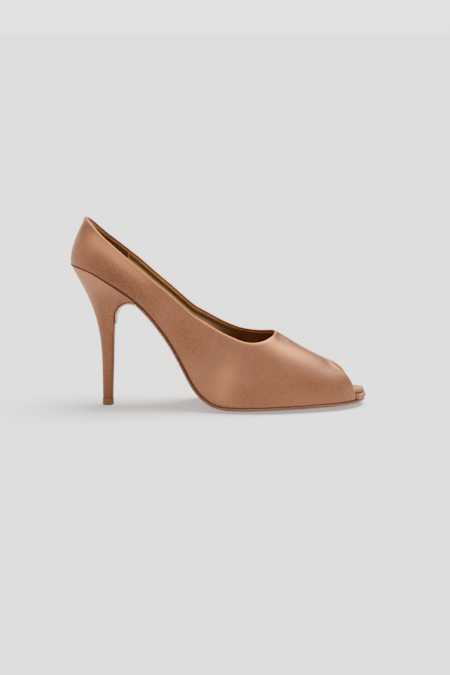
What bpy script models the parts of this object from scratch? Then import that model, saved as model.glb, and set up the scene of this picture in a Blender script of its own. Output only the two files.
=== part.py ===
"""A right peep-toe pump with a satin-covered stiletto heel.

Metres, +X to the toe, +Y to the inner side of the foot, +Z up. The shoe stands empty on the
flat spots of its forefoot and its top piece.
"""
import math
from collections import namedtuple

import bpy
import bmesh
import numpy as np

# Driving sizes of the last, in metres
LENGTH = 0.2090
BALL_WIDTH = 0.0740
HEEL_RISE = 0.0982
INSTEP = 0.0498
TOE_SPRING = 0.0015
SEAT_SHARE = 0.126
SEAT_ROUNDNESS = 2.1
TOE_REACH = 0.0250
TOE_ROUNDNESS = 2.0

# Driving sizes of the pieces, in metres
WALL = 0.0016
GAP = 0.0003
SOLE_EDGE = 0.0018
SOLE_MIDDLE = 0.0026
SOLE_MARGIN = 0.0006
FEATHER_LIFT = 0.0020
BOARD_TOE = 0.0033
BOARD_BACK = 0.0022
SOCK_TOE = 0.0030
SOCK_BACK = 0.0020
BOARD_INSET = 0.0027
BOARD_OUTSET = 0.0009
SOCK_INSET = 0.0034
SOCK_TOE_INSET = 0.0042
TOP_PIECE = 0.0050
HEEL_TIP = 0.0076
FLAP = 0.0013
FLAP_TIP = 0.0006
SEAT_CLEARANCE = 0.00015
HEEL_SETBACK = 0.0004
SOLE_BELLY = 0.0002
TIP_SETBACK = 0.0002

# Openings of the upper, as shares of the last's length
VAMP_START = 0.535
THROAT_START = 0.570
THROAT = 0.6980
THROAT_ROUNDNESS = 2.25
PEEP_APEX = 0.880
PEEP_OUTER = 0.958
PEEP_INNER = 0.952
PEEP_ROUNDNESS = 2.8
PEEP_EASE_OUTER = 1.50
PEEP_EASE_INNER = 1.95
PEEP_MARGIN = 0.006
COLLAR_ROLL = 0.35

# How finely the surfaces are divided
FAN_COLUMNS = 8
SIDE_COLUMNS = 18
VAMP_COLUMNS = 13
PEEP_COLUMNS = 9
UPPER_ROWS = 11
SOLE_STATIONS = 38
FLAP_STATIONS = 10
BOARD_STATIONS = 44
ACROSS = 8
HEEL_SIDES = 32
END_BIAS = 2.5
FINE = 400
SMALL_STEP = 0.0005
SMALL_SHARE = 0.0015
UPPER_SHARP = 50
BLOCK_SHARP = 40

BACK = -LENGTH / 2
PIVOT = BACK + SEAT_SHARE * LENGTH
OUTER, INNER = -1, 1
TIP_END = 0.9985
SEAT_END = 0.004

# Bottom line of the last: rise as a share of the heel rise, spring as a share of the toe spring
Bottom = namedtuple("Bottom", "along rise spring")
BOTTOM = (
    Bottom(0.000, 1.000, 0.00),
    Bottom(0.060, 0.970, 0.00),
    Bottom(0.120, 0.903, 0.00),
    Bottom(0.180, 0.818, 0.00),
    Bottom(0.240, 0.714, 0.00),
    Bottom(0.300, 0.564, 0.00),
    Bottom(0.350, 0.405, 0.00),
    Bottom(0.390, 0.246, 0.00),
    Bottom(0.420, 0.134, 0.00),
    Bottom(0.450, 0.065, 0.00),
    Bottom(0.485, 0.021, 0.00),
    Bottom(0.530, 0.003, 0.02),
    Bottom(0.580, 0.000, 0.10),
    Bottom(0.700, 0.000, 0.45),
    Bottom(0.850, 0.000, 0.85),
    Bottom(1.000, 0.000, 1.00),
)

# Feather line: half-widths from the centre line and the centre line's shift to the inner side,
# as shares of the ball width
Feather = namedtuple("Feather", "along outer inner centre")
FEATHER = (
    Feather(0.126, 0.342, 0.342, 0.000),
    Feather(0.180, 0.332, 0.327, 0.000),
    Feather(0.240, 0.306, 0.290, 0.000),
    Feather(0.300, 0.288, 0.256, 0.000),
    Feather(0.360, 0.303, 0.258, 0.000),
    Feather(0.420, 0.357, 0.308, 0.000),
    Feather(0.480, 0.424, 0.384, 0.000),
    Feather(0.540, 0.471, 0.452, 0.000),
    Feather(0.600, 0.491, 0.493, 0.000),
    Feather(0.660, 0.488, 0.504, 0.001),
    Feather(0.720, 0.472, 0.490, 0.004),
    Feather(0.800, 0.431, 0.443, 0.013),
    Feather(0.880, 0.370, 0.376, 0.024),
    Feather(0.940, 0.325, 0.327, 0.032),
    Feather(1.000, 0.285, 0.285, 0.040),
)

# Sections of the last: ridge height over the feather line as a share of the instep, bulges of
# the two sides, lean of the walls and hollow of the bottom as shares of the ball width
Section = namedtuple("Section", "along ridge outer_bulge inner_bulge lean fullness crown")
SECTIONS = (
    Section(0.000, 1.205, 0.019, 0.019, 0.335, 2.40, 0.000),
    Section(0.063, 1.190, 0.014, 0.014, 0.275, 2.40, 0.000),
    Section(0.126, 1.159, 0.010, 0.011, 0.165, 2.40, 0.000),
    Section(0.180, 1.120, 0.020, 0.024, 0.060, 2.40, 0.000),
    Section(0.240, 1.115, 0.043, 0.056, 0.010, 2.40, 0.001),
    Section(0.300, 1.195, 0.058, 0.080, 0.000, 2.40, 0.006),
    Section(0.360, 1.390, 0.053, 0.083, 0.000, 2.40, 0.011),
    Section(0.420, 1.590, 0.026, 0.056, 0.000, 2.40, 0.018),
    Section(0.480, 1.600, 0.000, 0.021, 0.000, 2.40, 0.022),
    Section(0.540, 1.458, -0.013, 0.001, 0.000, 2.35, 0.024),
    Section(0.600, 1.277, -0.016, -0.008, 0.000, 2.30, 0.024),
    Section(0.660, 1.088, -0.014, -0.011, 0.000, 2.22, 0.024),
    Section(0.720, 0.922, -0.011, -0.011, 0.000, 2.16, 0.023),
    Section(0.800, 0.713, -0.008, -0.010, 0.000, 2.15, 0.020),
    Section(0.880, 0.540, -0.004, -0.006, 0.000, 2.28, 0.014),
    Section(0.920, 0.474, -0.001, -0.002, 0.000, 2.40, 0.012),
    Section(0.960, 0.375, 0.000, 0.000, 0.000, 2.50, 0.006),
    Section(1.000, 0.100, 0.000, 0.000, 0.000, 2.50, 0.000),
)
BULGE_SHARE = 0.30
LEAN_POWER = 1.5

# Collar: its height as a share of the section's ridge height, at each side
Collar = namedtuple("Collar", "along outer inner")
COLLAR = (
    Collar(0.000, 0.548, 0.545),
    Collar(0.032, 0.550, 0.543),
    Collar(0.063, 0.541, 0.528),
    Collar(0.095, 0.512, 0.500),
    Collar(0.126, 0.502, 0.494),
    Collar(0.180, 0.485, 0.487),
    Collar(0.240, 0.478, 0.490),
    Collar(0.300, 0.507, 0.523),
    Collar(0.360, 0.561, 0.573),
    Collar(0.420, 0.640, 0.653),
    Collar(0.480, 0.675, 0.691),
    Collar(0.530, 0.681, 0.696),
    Collar(0.570, 0.690, 0.710),
)

# Heel stem and cup: height as a share of the seat's height, back line as a share of the way
# from the tip's back to the seat's back, half-width as a share of the seat's half-width, and
# how square the front is. Front is the share of the way up the stem's front, and past 1 the
# share of the way along the breast
Heel = namedtuple("Heel", "up back front half square")
HEEL = (
    Heel(0.054, 0.000, 0.00, 0.158, 2.3),
    Heel(0.180, 0.002, 0.22, 0.168, 2.3),
    Heel(0.300, 0.010, 0.45, 0.186, 2.3),
    Heel(0.400, 0.033, 0.64, 0.212, 2.4),
    Heel(0.480, 0.069, 0.79, 0.244, 2.5),
    Heel(0.560, 0.133, 0.92, 0.292, 2.7),
    Heel(0.640, 0.217, 1.05, 0.360, 3.0),
    Heel(0.715, 0.335, 1.18, 0.446, 3.4),
    Heel(0.785, 0.476, 1.33, 0.548, 4.0),
    Heel(0.850, 0.638, 1.49, 0.660, 5.0),
    Heel(0.905, 0.790, 1.64, 0.775, 6.0),
    Heel(0.950, 0.905, 1.78, 0.885, 7.0),
)
STEM_LEAN = 0.0020
HEEL_AXIS_SHARE = 0.1210
HEEL_AXIS = BACK + HEEL_AXIS_SHARE * LENGTH

# Breast flap of the sole, and the straight lip of the heel's rim behind it
FLAP_END_RISE = 0.585
FLAP_END_HALF = 0.2336
FLAP_NARROWING = 1.15
FLAP_EASE = 2.5
BREAST_OUT = 0.0092
BREAST_DOWN = 0.0150
BREAST_BELLY = 0.0030
JOIN_SHARE = 0.2400
LIP_SHARE = 0.2260
LIP_SQUARE = 9.0
RIM_SPREAD = 1.02

# Where the board and the sock grow thicker, and where the sock's tip narrows and widens again
SWELL_START = 0.62
SWELL_RUN = 0.30
SOCK_TOE_START = 0.93
SOCK_TOE_RUN = 0.05
SOCK_TIP_START = 0.975
SOCK_TIP_RUN = 0.024

# Wear piece under the heel: height as a share of its thickness, and size of its outline
Wear = namedtuple("Wear", "height size")
WEAR = (
    Wear(0.00, 0.88),
    Wear(0.12, 0.98),
    Wear(0.28, 1.02),
    Wear(1.00, 1.02),
)

MATERIALS = {
    "satin": ((0.40, 0.175, 0.095), 0.42),
    "sock_leather": ((0.50, 0.33, 0.16), 0.55),
    "sole_leather": ((0.60, 0.36, 0.20), 0.50),
    "rubber": ((0.22, 0.12, 0.045), 0.60),
}


def spline(knots, values):
    """Return a cubic through the knots with steady curvature and straight ends."""
    count = len(knots)
    knots = np.array(knots, dtype=float)
    values = np.array(values, dtype=float)
    step = np.diff(knots)
    chord = np.diff(values) / step
    matrix = np.zeros((count, count))
    right = np.zeros(count)
    matrix[0, :2] = (2, 1)
    right[0] = 3 * chord[0]
    matrix[-1, -2:] = (1, 2)
    right[-1] = 3 * chord[-1]
    for i in range(1, count - 1):
        matrix[i, i - 1:i + 2] = (step[i], 2 * (step[i - 1] + step[i]), step[i - 1])
        right[i] = 3 * (step[i] * chord[i - 1] + step[i - 1] * chord[i])
    slopes = np.linalg.solve(matrix, right)

    def value(x):
        x = min(max(x, knots[0]), knots[-1])
        i = min(int(np.searchsorted(knots, x, side="right")) - 1, count - 2)
        s = (x - knots[i]) / step[i]
        rise = values[i + 1] - values[i]
        bend = s * (1 - s) * step[i]
        ease = s * s * (3 - 2 * s)
        return values[i] + rise * ease + bend * ((1 - s) * slopes[i] - s * slopes[i + 1])

    return value


def columns(table):
    """Return a spline for each named column of a table, over its first column."""
    names = table[0]._fields
    knots = [row[0] for row in table]
    return {name: spline(knots, [getattr(row, name) for row in table]) for name in names[1:]}


bottom = columns(BOTTOM)
feather = columns(FEATHER)
sections = columns(SECTIONS)
collar = columns(COLLAR)
SIDE_NAME = {OUTER: "outer", INNER: "inner"}


def clamp(value):
    return min(max(value, 0.0), 1.0)


def station_x(along):
    return BACK + along * LENGTH


def share_of(x):
    return (x - BACK) / LENGTH


def feather_height(x):
    """Height of the feather line over the floor."""
    along = share_of(x)
    base = SOLE_EDGE + FEATHER_LIFT
    return base + HEEL_RISE * bottom["rise"](along) + TOE_SPRING * bottom["spring"](along)


def toe_round(along):
    """Narrowing of the feather line over the last stretch before the tip."""
    left = clamp((1 - along) * LENGTH / TOE_REACH)
    return (1 - (1 - left) ** TOE_ROUNDNESS) ** (1 / TOE_ROUNDNESS)


def centre(along):
    return BALL_WIDTH * feather["centre"](max(along, SEAT_SHARE))


def half_width(along, side):
    """Half-width of the feather line from the centre line."""
    width = BALL_WIDTH * feather[SIDE_NAME[side]](max(along, SEAT_SHARE))
    if along < SEAT_SHARE:
        left = 1 - max(along, 0.0) / SEAT_SHARE
        return width * max(1 - left ** SEAT_ROUNDNESS, 0.0) ** (1 / SEAT_ROUNDNESS)
    return width * toe_round(along)


def spoke(along, side):
    """Axis point, outward direction in plan and reach of the feather line at a station.

    Stations behind the pivot turn around it, so that they meet the round seat squarely.
    """
    if along >= SEAT_SHARE:
        axis = (station_x(along), centre(along))
        return axis, (0.0, float(side)), half_width(along, side)
    turn = (1 - along / SEAT_SHARE) * math.pi / 2
    back, across = math.sin(turn), math.cos(turn)
    wide = half_width(SEAT_SHARE, side)
    deep = SEAT_SHARE * LENGTH
    power = SEAT_ROUNDNESS
    reach = ((back / deep) ** power + (across / wide) ** power) ** (-1 / power)
    return (PIVOT, 0.0), (-back, side * across), reach


def seat_point(along, side):
    """Feather point in plan."""
    axis, out, reach = spoke(along, side)
    return axis[0] + out[0] * reach, axis[1] + out[1] * reach


def last_point(along, side, turn):
    """Point of the last's skin: turn 0 is the feather line and turn 1 the ridge."""
    axis, out, reach = spoke(along, side)
    power = 2 / sections["fullness"](along)
    up = math.sin(turn * math.pi / 2) ** power
    shrink = max(math.cos(turn * math.pi / 2), 0.0) ** power
    swell = 1 - (1 - min(up / BULGE_SHARE, 1)) ** 2
    bulge = BALL_WIDTH * sections[SIDE_NAME[side] + "_bulge"](along) * swell
    lean = BALL_WIDTH * sections["lean"](along) * up ** LEAN_POWER
    out_reach = (reach + bulge - lean) * shrink
    base = feather_height(axis[0] + out[0] * reach)
    height = base + INSTEP * sections["ridge"](along) * up
    return np.array((axis[0] + out[0] * out_reach, axis[1] + out[1] * out_reach, height))


def last_bottom(x, y):
    """Height of the last's underside, a little lower in the middle than at the feather line."""
    along = share_of(x)
    offset = y - centre(along)
    width = max(half_width(along, INNER if offset > 0 else OUTER), 0.001)
    dip = BALL_WIDTH * sections["crown"](along)
    return feather_height(x) - dip * max(1 - (offset / width) ** 2, 0.0)


def bottom_normal(x):
    """Upward direction square to the bottom line, seen from the side."""
    rise = feather_height(x + SMALL_STEP) - feather_height(x - SMALL_STEP)
    slope = rise / (2 * SMALL_STEP)
    length = math.hypot(slope, 1)
    return -slope / length, 1 / length


def edge_point(along, side, offset):
    """Feather point in plan, moved out by an offset square to the feather line."""
    before = np.array(seat_point(max(along - SMALL_SHARE, 0.0), side))
    after = np.array(seat_point(min(along + SMALL_SHARE, 1.0), side))
    run = after - before
    run /= np.linalg.norm(run)
    out = np.array((-run[1], run[0])) * side
    return np.array(seat_point(along, side)) + out * offset


def collar_turn(along, side):
    """Turn of the collar on the walls beside and behind the foot."""
    up = collar[SIDE_NAME[side]](along)
    return math.asin(up ** (sections["fullness"](along) / 2)) * 2 / math.pi


def throat_param(angle, side):
    """Station and turn of the collar around the throat, from an angle of its round plan."""
    power = 2 / THROAT_ROUNDNESS
    wide = abs(last_point(THROAT_START, side, collar_turn(THROAT_START, side))[1])
    along = THROAT_START + (THROAT - THROAT_START) * math.sin(angle) ** power
    y = wide * max(math.cos(angle), 0.0) ** power
    bulge = BALL_WIDTH * sections[SIDE_NAME[side] + "_bulge"](along)
    body = half_width(along, side) + bulge + side * centre(along)
    share = min(y / body, 1.0) ** (sections["fullness"](along) / 2)
    return along, math.acos(share) * 2 / math.pi


def peep_param(left, side):
    """Station and turn of the peep edge: left is 0 at its apex and 1 at the feather line."""
    corner, ease = (PEEP_OUTER, PEEP_EASE_OUTER) if side == OUTER else (PEEP_INNER, PEEP_EASE_INNER)
    share = (1 - (1 - left) ** PEEP_ROUNDNESS) ** ease
    return PEEP_APEX + (corner - PEEP_APEX) * share, 1 - left


def spaced(params, side, count):
    """Pick evenly spaced points from a fine list of stations and turns."""
    points = np.array([last_point(a, side, t) for a, t in params])
    run = np.concatenate(((0.0,), np.cumsum(np.linalg.norm(np.diff(points, axis=0), axis=1))))
    places = np.linspace(0, run[-1], count + 1)
    along = np.interp(places, run, [a for a, t in params])
    turn = np.interp(places, run, [t for a, t in params])
    return list(zip(along, turn))


def column_params(side):
    """Station and turn at the lower edge and at the collar, for each column of one side."""
    fan = [SEAT_SHARE * i / FAN_COLUMNS for i in range(FAN_COLUMNS)]
    steps = np.linspace(SEAT_SHARE, VAMP_START, FINE)
    sides = [a for a, t in spaced([(a, 0.0) for a in steps], side, SIDE_COLUMNS)][:-1]
    rows = [((a, 0.0), (a, collar_turn(a, side))) for a in fan + sides]
    corner = peep_param(1.0, side)[0]
    lower = spaced([(a, 0.0) for a in np.linspace(VAMP_START, corner, FINE)], side, VAMP_COLUMNS)
    peep = [peep_param(1 - k, side) for k in np.linspace(0, 1, FINE)]
    lower = lower[:-1] + spaced(peep, side, PEEP_COLUMNS)
    rim = [(a, collar_turn(a, side)) for a in np.linspace(VAMP_START, THROAT_START, FINE)][:-1]
    rim += [throat_param(k, side) for k in np.linspace(0, math.pi / 2, FINE)]
    upper = spaced(rim, side, VAMP_COLUMNS + PEEP_COLUMNS)
    return rows + list(zip(lower, upper))


def column_points(low, high, side):
    """Points of one column of the upper's outer skin, from its lower edge to the collar."""
    points = []
    for i in range(UPPER_ROWS + 1):
        share = i / UPPER_ROWS
        along = low[0] + (high[0] - low[0]) * share
        turn = low[1] + (high[1] - low[1]) * share
        points.append(last_point(along, side, turn))
    return points


def grid_normals(grid):
    """Outward normals of a grid of points that closes around its first direction."""
    around = np.roll(grid, -1, axis=0) - np.roll(grid, 1, axis=0)
    upward = np.gradient(grid, axis=1)
    normals = np.cross(around, upward)
    normals /= np.linalg.norm(normals, axis=2)[..., None]
    middle = grid.mean(axis=(0, 1))
    outward = np.sum(normals[0, 1:4] * (grid[0, 1:4] - middle)) > 0
    return normals if outward else -normals


def satin_shell():
    """Outer and inner skins of the upper, as grids of points, column by column."""
    outer_rows = column_params(OUTER)
    inner_rows = column_params(INNER)
    sides = [(OUTER, row) for row in outer_rows] + [(INNER, row) for row in inner_rows[-2:0:-1]]
    skin = np.array([column_points(low, high, side) for side, (low, high) in sides])
    normals = grid_normals(skin)
    lining = skin - normals * WALL
    for j, (side, (low, high)) in enumerate(sides):
        if low[1] > 0:
            continue
        out = normals[j, 0, :2] / np.linalg.norm(normals[j, 0, :2])
        foot = skin[j, 0, :2] - out * WALL
        lining[j, 0] = (foot[0], foot[1], last_bottom(foot[0], foot[1]) + GAP)
        skin[j, 0, 2] += GAP
    return skin, lining


def material(name):
    colour, roughness = MATERIALS[name]
    finish = bpy.data.materials.new(name)
    finish.use_nodes = True
    shader = finish.node_tree.nodes["Principled BSDF"]
    shader.inputs["Base Color"].default_value = (*colour, 1)
    shader.inputs["Roughness"].default_value = roughness
    finish.diffuse_color = (*colour, 1)
    return finish


def add_solid(name, points, faces, finish, sharp_angle):
    """Make one closed, outward-facing, smooth-shaded object."""
    mesh = bpy.data.meshes.new(name)
    mesh.from_pydata([tuple(point) for point in points], [], faces)
    work = bmesh.new()
    work.from_mesh(mesh)
    bmesh.ops.recalc_face_normals(work, faces=work.faces)
    work.to_mesh(mesh)
    work.free()
    mesh.shade_smooth()
    mesh.set_sharp_from_angle(angle=math.radians(sharp_angle))
    mesh.materials.append(finish)
    body = bpy.data.objects.new(name, mesh)
    bpy.context.collection.objects.link(body)
    return body


def ring_faces(rings, around):
    """Quads between rings of equal length."""
    faces = []
    for i in range(rings - 1):
        for j in range(around):
            k = (j + 1) % around
            faces.append((i * around + j, i * around + k, (i + 1) * around + k, (i + 1) * around + j))
    return faces


def make_upper(finish):
    """The lasted satin shell, with a rolled collar edge."""
    skin, lining = satin_shell()
    top = (skin[:, -1] + lining[:, -1]) / 2
    lift = skin[:, -1] - skin[:, -2]
    lift /= np.linalg.norm(lift, axis=1)[:, None]
    top = top + lift * WALL * COLLAR_ROLL
    rings = [skin[:, i] for i in range(skin.shape[1])] + [top]
    rings += [lining[:, i] for i in reversed(range(lining.shape[1]))]
    around = skin.shape[0]
    faces = ring_faces(len(rings), around)
    last = (len(rings) - 1) * around
    for j in range(around):
        k = (j + 1) % around
        faces.append((last + j, last + k, k, j))
    points = np.concatenate(rings)
    return add_solid("upper", points, faces, finish, UPPER_SHARP)


def slab_ring(top, low, belly):
    """Closed ring of a slab: its top line, one edge point, its bottom line, the other edge point."""
    out = np.array((0.0, belly, 0.0))
    left = (top[0] + low[0]) / 2 - out
    right = (top[-1] + low[-1]) / 2 + out
    return list(top) + [right] + list(reversed(low)) + [left]


def add_slab(name, rings, finish):
    """Loft slab rings and close both ends with strips."""
    around = len(rings[0])
    faces = ring_faces(len(rings), around)
    span = ACROSS + 1
    for first in (0, (len(rings) - 1) * around):
        low = [first + span + 1 + span - 1 - j for j in range(span)]
        for j in range(span - 1):
            faces.append((first + j, first + j + 1, low[j + 1], low[j]))
        faces.append((first + span - 1, first + span, low[-1]))
        faces.append((first, low[0], first + 2 * span + 1))
    points = np.concatenate([np.array(ring) for ring in rings])
    return add_solid(name, points, faces, finish, BLOCK_SHARP)


def stations(start, end, count):
    """Stations spaced evenly along the bottom line, closer towards round ends."""
    fine = np.linspace(start, end, FINE)
    line = np.array([(station_x(a), feather_height(station_x(a))) for a in fine])
    width = np.array([half_width(a, OUTER) for a in fine])
    run = np.linalg.norm(np.diff(line, axis=0), axis=1) + END_BIAS * np.abs(np.diff(width))
    run = np.concatenate(((0.0,), np.cumsum(run)))
    return np.interp(np.linspace(0, run[-1], count), run, fine)


def across_line(along, offset):
    """Plan points across the last at one station, from its outer to its inner edge."""
    outer = edge_point(along, OUTER, offset)
    inner = edge_point(along, INNER, offset)
    shares = (1 - np.cos(np.linspace(0, math.pi, ACROSS + 1))) / 2
    return [outer + (inner - outer) * share for share in shares]


def flap_point(share):
    """Side view of the breast flap's back face: 0 where it leaves the last, 1 at its lower end."""
    join = station_x(JOIN_SHARE)
    normal = bottom_normal(join)
    start = np.array((join, last_bottom(join, 0.0)))
    seat = feather_height(BACK)
    end = np.array((stem_front(FLAP_END_RISE) + 2 * GAP, seat * FLAP_END_RISE))
    lead = start + np.array((-normal[1], normal[0])) * BREAST_OUT
    drop = end + np.array((-BREAST_BELLY, BREAST_DOWN))
    weights = ((1 - share) ** 3, 3 * share * (1 - share) ** 2, 3 * share ** 2 * (1 - share), share ** 3)
    point = sum(w * p for w, p in zip(weights, (start, lead, drop, end)))
    pull = ((lead - start) * (1 - share) ** 2 + (drop - lead) * 2 * share * (1 - share)
            + (end - drop) * share ** 2)
    pull /= np.linalg.norm(pull)
    return point, pull


def stem_front(up):
    """Front of the stem at a share of the seat's height."""
    return HEEL_AXIS + HEEL_TIP / 2 + STEM_LEAN * up / FLAP_END_RISE


def flap_half(share):
    """Half-width of the breast flap, a little narrower than the heel that it covers."""
    wide = half_width(JOIN_SHARE, OUTER)
    narrow = half_width(SEAT_SHARE, OUTER) * FLAP_END_HALF
    return wide + (narrow - wide) * share ** FLAP_NARROWING


def sole_ring(along):
    """One ring of the sole: thin at the edges, thicker in the middle, flat where it meets the floor."""
    top = [np.array((x, y, last_bottom(x, y))) for x, y in across_line(along, SOLE_MARGIN)]
    middle = (top[0][1] + top[-1][1]) / 2
    half = (top[-1][1] - top[0][1]) / 2
    fuller = (SOLE_MIDDLE - SOLE_EDGE) * toe_round(along)
    low = []
    for point in top:
        normal = bottom_normal(point[0])
        share = (point[1] - middle) / half
        spot = point - np.array((normal[0], 0.0, normal[1])) * (SOLE_EDGE + fuller * (1 - share ** 2))
        spot[2] = max(spot[2], 0.0)
        low.append(spot)
    return slab_ring(top, low, SOLE_BELLY)


def flap_ring(share):
    """One ring of the breast flap, which flattens out of the sole."""
    point, pull = flap_point(share)
    normal = np.array((pull[1], 0.0, -pull[0]))
    ease = min(share * FLAP_EASE, 1)
    thin = FLAP + (FLAP_TIP - FLAP) * share ** 2
    edge = SOLE_EDGE + (thin - SOLE_EDGE) * ease
    middle = SOLE_MIDDLE + (thin - SOLE_MIDDLE) * ease
    half = flap_half(share) + SOLE_MARGIN
    dip = BALL_WIDTH * sections["crown"](JOIN_SHARE) * (1 - ease)
    top, low = [], []
    for spot in -np.cos(np.linspace(0, math.pi, ACROSS + 1)):
        place = np.array((point[0], spot * half, point[1] + dip * spot ** 2))
        top.append(place)
        low.append(place - normal * (edge + (middle - edge) * (1 - spot ** 2)))
    return slab_ring(top, low, SOLE_BELLY / 2)


def make_outsole(finish):
    """Thin leather sole from the toe tip to the heel breast, and its flap down the breast."""
    rings = [sole_ring(along) for along in stations(TIP_END, JOIN_SHARE, SOLE_STATIONS)]
    rings += [flap_ring(k / FLAP_STATIONS) for k in range(1, FLAP_STATIONS + 1)]
    return add_slab("outsole", rings, finish)


def slab_on_last(name, finish, lift, thickness, inset):
    """A slab that follows the last's bottom from the toe tip round to the seat."""
    rings = []
    for along in stations(TIP_END, SEAT_END, BOARD_STATIONS):
        top, low = [], []
        for x, y in across_line(along, -inset(along)):
            normal = bottom_normal(x)
            up = np.array((normal[0], 0.0, normal[1]))
            base = np.array((x, y, last_bottom(x, y) + GAP)) + up * lift(share_of(x))
            low.append(base)
            top.append(base + up * thickness(share_of(x)))
        rings.append(slab_ring(top, low, 0.0))
    return add_slab(name, rings, finish)


def taper(back, toe):
    """Thickness that grows from the ball to the toe."""
    def value(along):
        share = clamp((along - SWELL_START) / SWELL_RUN)
        return back + (toe - back) * share * share * (3 - 2 * share)
    return value


def board_inset(along):
    """The board lies inside the upper, and comes out to the feather line past the peep."""
    share = clamp((along - PEEP_OUTER - PEEP_MARGIN) / PEEP_MARGIN)
    return BOARD_INSET - (BOARD_INSET + BOARD_OUTSET) * share


def sock_inset(along):
    """The sock lies inside the board, and its blunt tip ends just short of the board's."""
    inset = SOCK_INSET + (SOCK_TOE_INSET - SOCK_INSET) * clamp((along - SOCK_TOE_START) / SOCK_TOE_RUN)
    tip = clamp((along - SOCK_TIP_START) / SOCK_TIP_RUN)
    return inset + (TIP_SETBACK - inset) * tip ** 2


def superellipse(angle, square_front, square_back):
    """Unit outline: angle 0 at the back, pi at the front."""
    power = 2 / (square_front if math.cos(angle) < 0 else square_back)
    deep = abs(math.cos(angle)) ** power
    wide = abs(math.sin(angle)) ** power
    return (0.5 - math.copysign(deep, math.cos(angle)) / 2, math.copysign(wide, math.sin(angle)))


def heel_front(share):
    """Front of the heel in side view: up the stem to share 1, then along the breast."""
    seat = feather_height(BACK)
    low = TOP_PIECE + GAP
    if share <= 1:
        up = low + (seat * FLAP_END_RISE - low) * share
        return np.array((stem_front(up / seat), up))
    point, pull = flap_point(min(2 - share, 1.0))
    return point + np.array((pull[1], -pull[0])) * GAP


def heel_ring(row):
    """One ring of the heel block."""
    seat = feather_height(BACK)
    tip_back = HEEL_AXIS - HEEL_TIP / 2
    back = np.array((tip_back + (BACK + HEEL_SETBACK - tip_back) * row.back, seat * row.up))
    front = heel_front(row.front)
    half = half_width(SEAT_SHARE, OUTER) * row.half
    if row is HEEL[0]:
        back[1] = front[1]
    ring = []
    for k in range(HEEL_SIDES):
        deep, wide = superellipse(2 * math.pi * k / HEEL_SIDES, row.square, SEAT_ROUNDNESS)
        place = back + (front - back) * deep
        ring.append(np.array((place[0], half * wide, place[1])))
    return ring


def heel_seat_ring():
    """The heel's upper rim, under the feather line, closed by the straight lip of its breast."""
    ring = []
    lip = station_x(LIP_SHARE)
    for k in range(HEEL_SIDES):
        deep, wide = superellipse(2 * math.pi * k / HEEL_SIDES, LIP_SQUARE, SEAT_ROUNDNESS)
        x = BACK + (lip - BACK) * deep
        side = INNER if wide > 0 else OUTER
        limit = half_width(share_of(x), side)
        y = side * min(limit, abs(wide) * half_width(SEAT_SHARE, side) * RIM_SPREAD)
        ring.append(np.array((x, y, last_bottom(x, y) - SEAT_CLEARANCE)))
    return ring


def make_heel(finish):
    """Covered stiletto heel block."""
    rings = [heel_ring(row) for row in HEEL] + [heel_seat_ring()]
    faces = ring_faces(len(rings), HEEL_SIDES)
    faces.append(tuple(range(HEEL_SIDES)))
    last = (len(rings) - 1) * HEEL_SIDES
    for k in range(HEEL_SIDES // 2):
        far, far_next = (HEEL_SIDES - k) % HEEL_SIDES, HEEL_SIDES - k - 1
        strip = (last + k, last + k + 1, last + far_next, last + far)
        faces.append(tuple(dict.fromkeys(strip)))
    return add_solid("heel", np.concatenate(rings), faces, finish, BLOCK_SHARP)


def make_top_piece(finish):
    """Wear piece under the heel tip, with its lower edge rounded off."""
    base = np.array(heel_ring(HEEL[0]))
    middle = np.mean(base, axis=0)
    rings = []
    for row in WEAR:
        ring = middle + (base - middle) * row.size
        ring[:, 2] = TOP_PIECE * row.height
        rings.append(ring)
    faces = ring_faces(len(rings), HEEL_SIDES)
    faces.append(tuple(range(HEEL_SIDES)))
    last = (len(rings) - 1) * HEEL_SIDES
    faces.append(tuple(last + k for k in range(HEEL_SIDES)))
    return add_solid("top_piece", np.concatenate(rings), faces, finish, BLOCK_SHARP)


def main():
    for item in list(bpy.data.objects):
        bpy.data.objects.remove(item)
    finishes = {name: material(name) for name in MATERIALS}
    board = taper(BOARD_BACK, BOARD_TOE)
    sock = taper(SOCK_BACK, SOCK_TOE)
    pieces = [
        make_upper(finishes["satin"]),
        make_outsole(finishes["sole_leather"]),
        slab_on_last("insole_board", finishes["satin"].copy(), lambda a: 0.0, board, board_inset),
        slab_on_last("insole_sock", finishes["sock_leather"], lambda a: board(a) + GAP, sock,
                     sock_inset),
        make_heel(finishes["satin"].copy()),
        make_top_piece(finishes["rubber"]),
    ]
    reach = [v.co.x for piece in pieces for v in piece.data.vertices]
    width = [v.co.y for piece in pieces for v in piece.data.vertices]
    frame = bpy.data.objects.new("pump", None)
    bpy.context.collection.objects.link(frame)
    for piece in pieces:
        piece.parent = frame
    frame.location = (-(min(reach) + max(reach)) / 2, -(min(width) + max(width)) / 2, 0.0)


main()
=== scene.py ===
import math
from collections import namedtuple

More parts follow.
